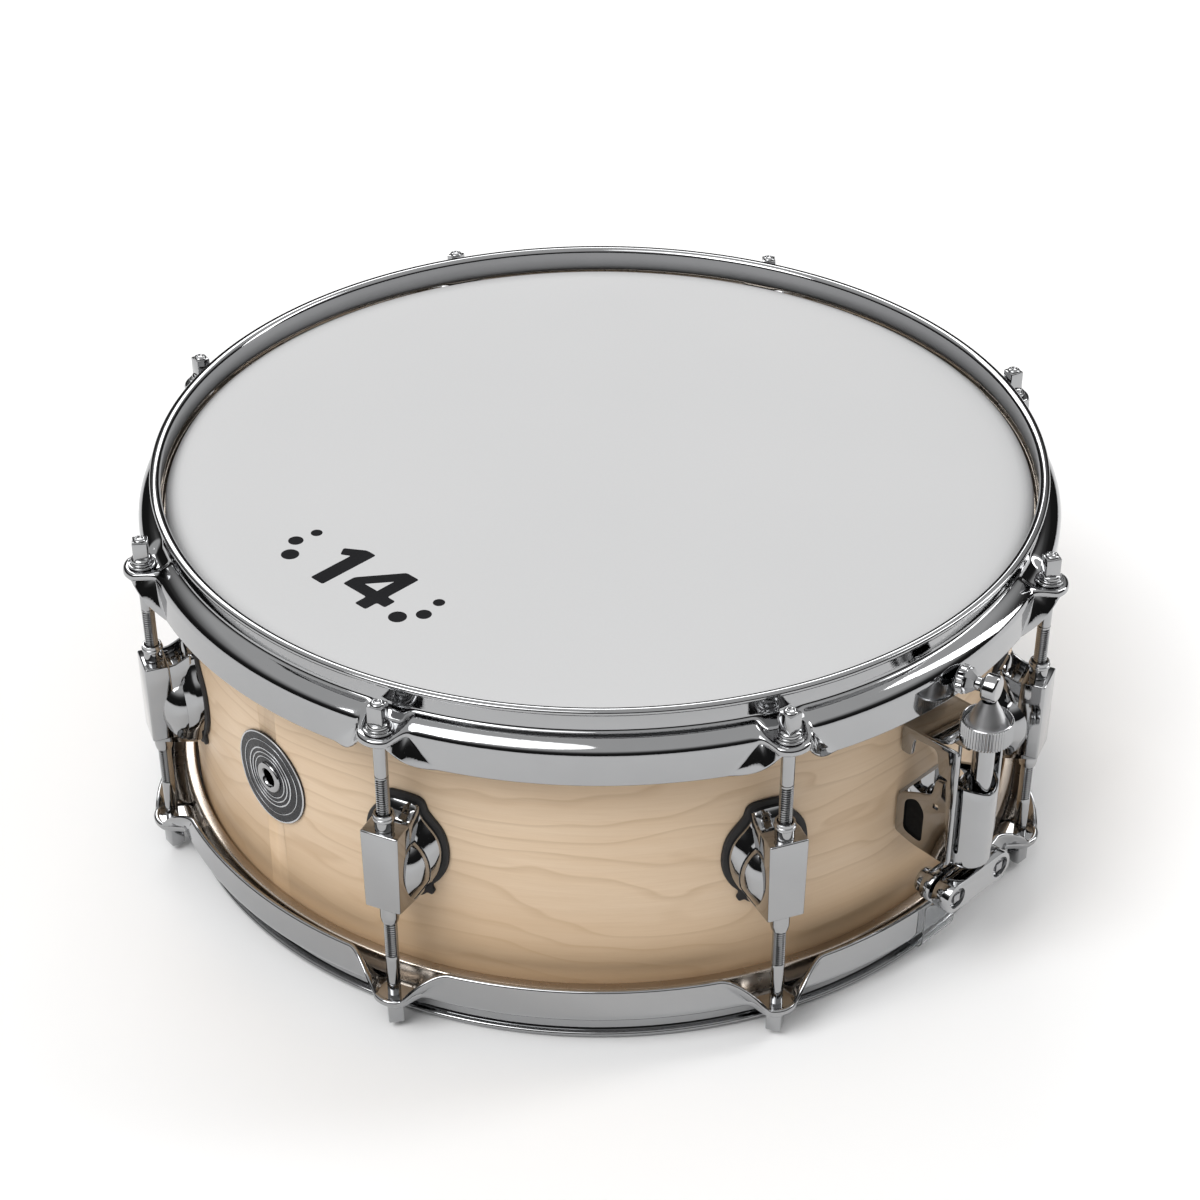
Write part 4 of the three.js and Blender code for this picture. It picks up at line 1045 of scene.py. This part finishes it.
def add_bracket():
    top, foot = STRAINER_TOP, STRAINER_FOOT
    walls = []
    for sign in (-1, 1):
        low, high = sorted((sign * BRACKET_HALF, sign * (BRACKET_HALF - 1.5)))
        walls.append(softened(prism(bracket_wall(), low, high, "y"), 0.4, 2, 50))
    bracket = add_piece("strainer_bracket_fine", walls, CHROME, STRAINER_ANGLE,
                        stands_for=["strainer_bracket"], slot="chrome", sharp=38)
    window = rounded_profile([(182.2, foot + 6.0), (191.6, foot + 4.0), (191.8, foot + 19.5),
                              (188.0, foot + 24.0), (182.2, foot + 21.0)], 2.8, True, 3)
    slot = rounded_profile([(195.6, top - 31), (198.2, top - 31), (198.2, top - 28.6),
                            (195.6, top - 28.6)], 0.3, True)
    cut_with(bracket, [moved(prism(outline, -20, 20, "y"), turn=("Z", STRAINER_ANGLE))
                       for outline in (window, slot)])
    add_piece("strainer_bracket_webs", bracket_webs(), CHROME, STRAINER_ANGLE, slot="chrome",
              sharp=38)
    screws = []
    for y in (-9.5, 9.5):
        for z in (foot + 9.0, top - 6.5):
            x = SHELL_RADIUS + (1.9 if z < MID else 0.4)
            screws.append(button_head(1.2, 2.3, 2.5, 1.7, (x, y, z)))
    add_piece("strainer_screws", screws, STEEL, STRAINER_ANGLE, slot="chrome")
    # A near-black sheet just inside one wall, behind its window: painted shade standing for the
    # dark inside of the bracket, not a real lining.
    window_shade = rounded_profile([(181.4, foot + 4.6), (192.4, foot + 2.8), (192.6, foot + 19.8),
                              (188.4, foot + 24.4), (181.4, foot + 21.4)], 2.8, True, 3)
    inner = BRACKET_HALF - 1.55
    add_piece("strainer_window_shade", prism(window_shade, -inner, 1.2 - inner, "y"), RECESS_SHADE, STRAINER_ANGLE,
              slot="rubber")


def cover_plan(radius, tail=3.8, steps=28):
    """Plan (x, y) of the cover: a half-round front and straight sides."""
    centre = STRAINER_RADIUS - 3.3
    front = [(centre + radius * math.cos(t), radius * math.sin(t))
             for t in [math.pi * (k / steps - 0.5) for k in range(steps + 1)]]
    return [(centre - tail, -radius)] + front + [(centre - tail, radius)]


def cover_edge(y):
    """The cover's upper edge dips in front and rises towards both sides."""
    return COVER_TOP - COVER_DIP + COVER_DIP * smooth(abs(y) / 9.0)


def add_cover():
    def row(radius, z, dipped=False):
        return [(x, y, cover_edge(y) - (COVER_TOP - z) if dipped else z)
                for x, y in cover_plan(radius)]
    foot = COVER_FOOT
    rows = [row(8.2, foot + 0.9), row(8.6, foot + 0.2), row(9.1, foot), row(9.45, foot + 0.5),
            row(9.5, foot + 1.4)]
    rows += [row(mix(9.5, 9.78, k / 6), mix(foot + 1.4, COVER_TOP - 5.5, k / 6))
             for k in range(1, 7)]
    rows += [row(radius, COVER_TOP - drop, True)
             for radius, drop in ((9.78, 0.7), (9.5, 0.15), (9.0, 0), (8.5, 0.15), (8.2, 0.7))]
    rows.append(row(8.1, COVER_TOP - 6.5))
    cover = loft(rows)
    barrel = [(0, 70), (4.0, 70), (4.0, 91.2), (4.3, 91.6), (4.3, BARREL_TOP, 0.5),
              (2.75, BARREL_TOP, 0.2), (2.75, BARREL_TOP - 6), (0, BARREL_TOP - 6)]
    barrel = lathe(rounded_profile(barrel, 0.2), 48)
    collar = [(0, 88), (6.6, 88), (6.6, 91.0), (5.4, 92.2, 0.6), (0, 92.2)]
    collar = lathe(rounded_profile(collar, 0.4), 48)
    pin = [(0, 88), (0.8, 88), (0.8, BARREL_TOP - 0.6), (0, BARREL_TOP - 0.6)]
    pin = lathe(rounded_profile(pin, 0.2), 16)
    parts = [cover, moved(barrel, (STRAINER_RADIUS, 0, 0)), moved(collar, (STRAINER_RADIUS, 0, 0)),
             moved(pin, (STRAINER_RADIUS - 8.4, -3.6, 0)),
             softened(block((STRAINER_RADIUS - 12, STRAINER_RADIUS - 3.5), (-4.4, 4.4),
                            (BARREL_TOP - 5.6, BARREL_TOP - 1.0)), 0.7, 2)]
    add_piece("strainer_cover", parts, CHROME, STRAINER_ANGLE, stands_for=["strainer_housing"],
              slot="chrome", sharp=40)


def clamp_outline(radius, half=CLAMP_SCREW_SIDE, steps=18):
    """Face (y, z) of a clamp half: a bar with round ends."""
    out = []
    for sign, start in ((1, -0.5), (-1, 0.5)):
        for k in range(steps + 1):
            a = math.pi * (start + k / steps)
            out.append((sign * half + radius * math.cos(a), CLAMP_Z + radius * math.sin(a)))
    return out


def clamp_bar(radius, low, high, edge=0.6):
    """The bar between two faces at x, with rounded rims."""
    rows = []
    for x, inset in ((low, edge), (low + edge * 0.3, edge * 0.3), (low + edge, 0),
                     (high - edge, 0), (high - edge * 0.3, edge * 0.3), (high, edge)):
        rows.append([(x, y, z) for y, z in clamp_outline(radius - inset)])
    return loft(rows)


def clamp_screw(face, y):
    """A square-drive screw sunk in its pocket."""
    head = [(0, -2.2), (3.9, -2.2), (3.9, -0.9, 0.5), (2.9, -0.5, 0.3), (0, -0.5)]
    head = lathe(rounded_profile(head, 0.2), 28)
    drive = softened(block((-1.9, 1.9), (-1.9, 1.9), (-1.0, 0.4)), 0.35, 2)
    return [facing_out(part, (face, y, CLAMP_Z)) for part in (head, drive)]


def pockets(face, angle, depth=1.9):
    """Cutters for the two round screw pockets in a clamp's outer face."""
    cutters = []
    for y in (-CLAMP_SCREW_SIDE, CLAMP_SCREW_SIDE):
        hole = lathe([(0, -depth), (4.5, -depth), (4.7, 3), (0, 3)], 32)
        cutters.append(moved(facing_out(hole, (face, y, CLAMP_Z)), turn=("Z", angle)))
    return cutters


def add_slider():
    face = CLAMP_FACE + 8.0
    neck = [(0, CLAMP_Z), (3.7, CLAMP_Z), (3.7, COVER_FOOT + 4.6), (0, COVER_FOOT + 4.6)]
    neck = lathe(rounded_profile(neck, 0.4), 40)
    stem = [(0, CLAMP_Z), (2.2, CLAMP_Z), (2.2, 105.8), (0, 105.8)]
    stem = lathe(rounded_profile(stem, 0.4), 32)
    parts = [clamp_bar(CLAMP_END_RADIUS, CLAMP_FACE, face)]
    parts += [moved(part, (STRAINER_RADIUS, 0, 0)) for part in (neck, stem)]
    slider = add_piece("strainer_slider_fine", parts, CHROME, STRAINER_ANGLE, body="snare_slider",
                       stands_for=["strainer_slider"], slot="chrome", sharp=40)
    cut_with(slider, pockets(face, STRAINER_ANGLE))
    screws = clamp_screw(face - 0.6, -CLAMP_SCREW_SIDE) + clamp_screw(face - 0.6, CLAMP_SCREW_SIDE)
    add_piece("strainer_clamp_screws", screws, PIN_STEEL, STRAINER_ANGLE, body="snare_slider",
              slot="chrome")
    back = CLAMP_FACE - 1.4
    jaw = [clamp_bar(CLAMP_END_RADIUS, back - 4.8, back, 0.5)]
    for y in (-CLAMP_SCREW_SIDE, CLAMP_SCREW_SIDE):
        boss = [(0, -8.4), (4.9, -8.4), (5.4, -7.6, 0.4), (5.4, -4.4), (0, -4.4)]
        jaw.append(facing_out(lathe(rounded_profile(boss, 0.4), 36), (back, y, CLAMP_Z)))
    add_piece("strainer_clamp_plate_fine", jaw, CHROME, STRAINER_ANGLE, body="snare_slider",
              stands_for=["strainer_clamp_plate"], slot="chrome", sharp=40)


def fluted(profile, steps, grooves, depth, span):
    """A turned solid whose sides are grooved along the axis between two heights."""
    body = lathe(profile, steps)
    low, high = span
    for v in body.verts:
        r = math.hypot(v.co.x, v.co.y)
        if low <= v.co.z <= high and r > 1:
            a = math.atan2(v.co.y, v.co.x)
            cut = depth * (0.5 - 0.5 * math.cos(a * grooves)) ** 0.7
            v.co.x *= (r - cut) / r
            v.co.y *= (r - cut) / r
    return body


def add_knob():
    low, tip = foot_of("strainer_knob"), top_of("strainer_knob")
    rim = low + KNOB_RIM
    ring = [(2.8, low), (9.4, low, 0.3), (9.7, low + 0.5, 0.1), (10.25, low + 0.6, 0.1),
            (10.25, low + 4.8, 0.1), (10.25, rim - 0.5, 0.1), (9.9, rim - 0.4, 0.1),
            (9.5, rim, 0.2), (9.1, rim - 0.2, 0.2), (9.0, rim - 2.6, 0.1), (2.8, rim - 2.6, 0.1)]
    ring = rounded_profile(ring, closed=True, cuts=1)
    body = fluted(ring, 432, 54, 0.5, (low + 0.55, rim - 0.4))
    cone = [(2.8, rim - 2.5), (8.1, rim - 2.5), (8.1, rim - 2.0), (7.9, rim - 1.6),
            (7.6, rim - 1.05), (3.3, tip - 0.7), (2.9, tip), (2.8, tip - 0.3)]
    cone = moved(lathe(cone, 96), (STRAINER_RADIUS, 0, 0))
    add_piece("strainer_knob_cone", cone, BRUSHED, STRAINER_ANGLE, body="tension_knob",
              slot="chrome", sharp=24)
    knob = moved(body, (STRAINER_RADIUS, 0, 0))
    add_piece("strainer_knob_fine", knob, CHROME, STRAINER_ANGLE, body="tension_knob",
              stands_for=["strainer_knob"], slot="chrome", sharp=30)


def add_lever():
    """A cross handle: a round hub, a slim neck, a facetted cone and a fluted barrel."""
    hub = rounded_profile([(0, 3.4), (4.6, 3.4, 0.4), (5.4, 2.7, 0.3), (5.4, -1.6, 0.3),
                           (4.9, -2.4, 0.3), (3.2, -2.6, 0.5), (2.7, -3.6, 0.4), (2.7, -6.0, 0.4),
                           (0, -6.0)], 0.2)
    grip = rounded_profile([(0, -9.2), (4.9, -9.2, 0.2), (5.1, -9.6, 0.1), (5.8, -9.8, 0.2),
                            (5.8, -12.2, 0.2), (5.2, -13.0, 0.3), (0, -13.0)], 0.2)
    cone = [(0, -5.2), (2.6, -5.2), (3.6, -6.2), (5.3, -8.4), (5.3, -9.4), (0, -9.4)]
    parts = [lathe(hub, 48), lathe(cone, 8), fluted(grip, 144, 12, 0.7, (-12.1, -9.7))]
    parts = [moved(p, turn=("Y", 90)) for p in parts]
    post = [(0, 111), (2.2, 111), (2.2, LEVER_Z - 4.6), (2.9, LEVER_Z - 4.0), (0, LEVER_Z - 1)]
    post = lathe(rounded_profile(post, 0.3), 32)
    whole = joined([moved(p, (0, 0, LEVER_Z)) for p in parts] + [post])
    moved(whole, (STRAINER_RADIUS, 0, 0), turn=("Z", LEVER_SWIVEL))
    add_piece("strainer_lever_fine", whole, CHROME, STRAINER_ANGLE, body="throw_lever",
              stands_for=["strainer_lever"], slot="chrome", sharp=30)


# ---------------------------------------------------------------- butt plate


def add_butt():
    angle = STRAINER_ANGLE + 180
    back = SHELL_RADIUS + 0.4
    low, high = CLAMP_Z - 7.7, CLAMP_Z + 44.3
    tongue = rounded_profile([(-18.0, low + 3, 3), (-19.0, CLAMP_Z + 8, 3), (-13.5, high - 9, 6),
                              (-7.5, high, 6), (7.5, high, 6), (13.5, high - 9, 6),
                              (19.0, CLAMP_Z + 8, 3), (18.0, low + 3, 3), (8, low, 2),
                              (-8, low, 2)], closed=True, cuts=3)
    layers = [(0.0, back), (0.0, back + 2.0), (0.25, back + 2.6), (0.8, back + 2.9)]
    parts = [pad(tongue, layers)]
    face = CLAMP_FACE - 1.4
    end = CLAMP_END_RADIUS
    arm = rounded_profile([(back + 1, CLAMP_Z - end, 1), (face, CLAMP_Z - end, 0.8),
                           (face, CLAMP_Z + end, 0.8), (back + 10, CLAMP_Z + 12, 6),
                           (back + 3, CLAMP_Z + 24, 6), (back + 1, CLAMP_Z + 24, 1)],
                          closed=True, cuts=3)
    parts.append(softened(prism(arm, -17.5, 17.5, "y"), 0.9, 3, 50))
    add_piece("butt_plate_fine", parts, CHROME, angle, stands_for=["butt_plate"], slot="chrome",
              sharp=38)
    outer = CLAMP_FACE + 4.6
    bar = add_piece("butt_clamp_fine", [clamp_bar(end, CLAMP_FACE, outer)], CHROME, angle,
                    stands_for=["butt_clamp"], slot="chrome", sharp=40)
    cut_with(bar, pockets(outer, angle))
    screws = (clamp_screw(outer - 0.6, -CLAMP_SCREW_SIDE)
              + clamp_screw(outer - 0.6, CLAMP_SCREW_SIDE))
    for z in (CLAMP_Z + 30.5, CLAMP_Z + 38.5):
        screws.append(button_head(1.0, 2.2, 2.4, 1.6, (back + 2.8, 0, z)))
    add_piece("butt_screws", screws, STEEL, angle, slot="chrome")


# ---------------------------------------------------------------- snares

WIRE_Z = (foot_of("snare_wires") + top_of("snare_wires")) / 2
WIRE_COUNT = 20
WIRE_SPACING = 2.3
STRAP_HALF_WIDTH = 9.8


def coil(radius, wire, half, pitch=2.0, around=8):
    """A close coil of wire along x."""
    turns = int(2 * half / pitch)
    verts, faces = [], []
    count = turns * around
    for i in range(count + 1):
        a = 2 * math.pi * i / around
        x = -half + 2 * half * i / count
        out = Vector((0, math.cos(a), math.sin(a)))
        for k in range(3):
            b = 2 * math.pi * k / 3
            p = (Vector((x, 0, 0)) + out * (radius + wire * math.cos(b))
                 + Vector((wire * math.sin(b), 0, 0)))
            verts.append(tuple(p))
    for i in range(count):
        for k in range(3):
            n = (k + 1) % 3
            faces.append([3 * i + k, 3 * i + n, 3 * i + 3 + n, 3 * i + 3 + k])
    faces += [[0, 1, 2], [3 * count + 2, 3 * count + 1, 3 * count]]
    return solid(verts, faces)


def wire_side(i):
    """Where a wire lies across the bundle."""
    return (i - (WIRE_COUNT - 1) / 2) * WIRE_SPACING


def add_snares():
    coils = []
    for i in range(WIRE_COUNT):
        y = wire_side(i)
        coils.append(moved(coil(0.72, 0.24, 153.0), (0, y, WIRE_Z), turn=("X", 50 * i)))
    add_piece("snare_coils", coils, STEEL, STRAINER_ANGLE, body="snares",
              stands_for=["snare_wires"], slot="snare_steel", sharp=80)
    ends = []
    for side in (-1, 1):
        near, far = sorted((side * 152.2, side * 163.8))
        plate = block((near, far), (-23.6, 23.6), (WIRE_Z - 0.2, WIRE_Z + 0.9))
        ends.append(softened(plate, 0.3, 2))
        fold = sorted((side * 161.6, side * 163.8))
        ends.append(softened(block(fold, (-23.2, 23.2), (WIRE_Z - 0.9, WIRE_Z + 0.4)), 0.4, 2))
        for i in range(WIRE_COUNT):
            bead = [(0, -1.9), (0.8, -1.7), (1.05, 0), (0.8, 1.7), (0, 1.9)]
            bead = lathe(rounded_profile(bead, 0.3), 10)
            ends.append(facing_out(bead, (side * 155.0, wire_side(i), WIRE_Z)))
    add_piece("snare_end_plates", ends, PIN_STEEL, STRAINER_ANGLE, body="snares",
              slot="snare_steel")


def strap_line():
    """Side view (x, z) of a strap, from the end plate, out of the hoop and up to its clamp."""
    outside = SKIRT_RADIUS + 1.4
    entry = CLAMP_Z - CLAMP_END_RADIUS
    lean = entry - 13.5
    inner = CLAMP_FACE - 0.7

    def curve(p, count):
        rows = []
        for k in range(count + 1):
            t = k / count
            w = ((1 - t) ** 3, 3 * t * (1 - t) ** 2, 3 * t * t * (1 - t), t ** 3)
            rows.append((sum(a * q[0] for a, q in zip(w, p)),
                         sum(a * q[1] for a, q in zip(w, p))))
        return rows
    upright = mix(WIRE_Z, lean, 0.45)
    corner = curve([(RIM_RADIUS, WIRE_Z), (outside - 1, WIRE_Z), (outside, WIRE_Z + 1.5),
                    (outside, upright)], 12)
    rise = curve([(outside, lean), (outside, lean + 6.75), (inner, entry - 6.75),
                  (inner, entry)], 12)
    return [(164.3, WIRE_Z)] + corner + rise + [(inner, CLAMP_Z + 5.6)]


def add_straps():
    section = sheet_section(strap_line(), 0.5)
    outline = [(p.x, p.y) for p in section]
    for turn, node, body in ((0, "snare_strap_strainer", "snare_slider"),
                             (180, "snare_strap_butt", "drum")):
        strap = prism(outline, -STRAP_HALF_WIDTH, STRAP_HALF_WIDTH, "y")
        add_piece(node + "_fine", strap, STRAP, STRAINER_ANGLE + turn, body=body, stands_for=[node],
                  slot="strap", sharp=50)


# ---------------------------------------------------------------- the whole scene

add_camera()
add_world()
add_floor()
add_area("key_light", (-1.6, -1.5, 2.6), (0, 0, 0.1), (1.6, 1.6), 38)
add_area("strip_light", (2.2, 0.6, 1.5), (0, 0, 0.1), (0.5, 2.2), 22)
add_area("back_light", (-0.6, 2.6, 2.2), (0, 0, 0.1), (2.4, 0.8), 28)
add_sun("soft_sun", (0.35, 0.5, -1.0), 0.68, 35)

add_shell()
add_heads()
add_hoops()
add_rods()
add_lugs()

add_badge()
add_head_mark()
add_bracket()
add_cover()
add_slider()
add_knob()
add_lever()
add_butt()
add_snares()
add_straps()
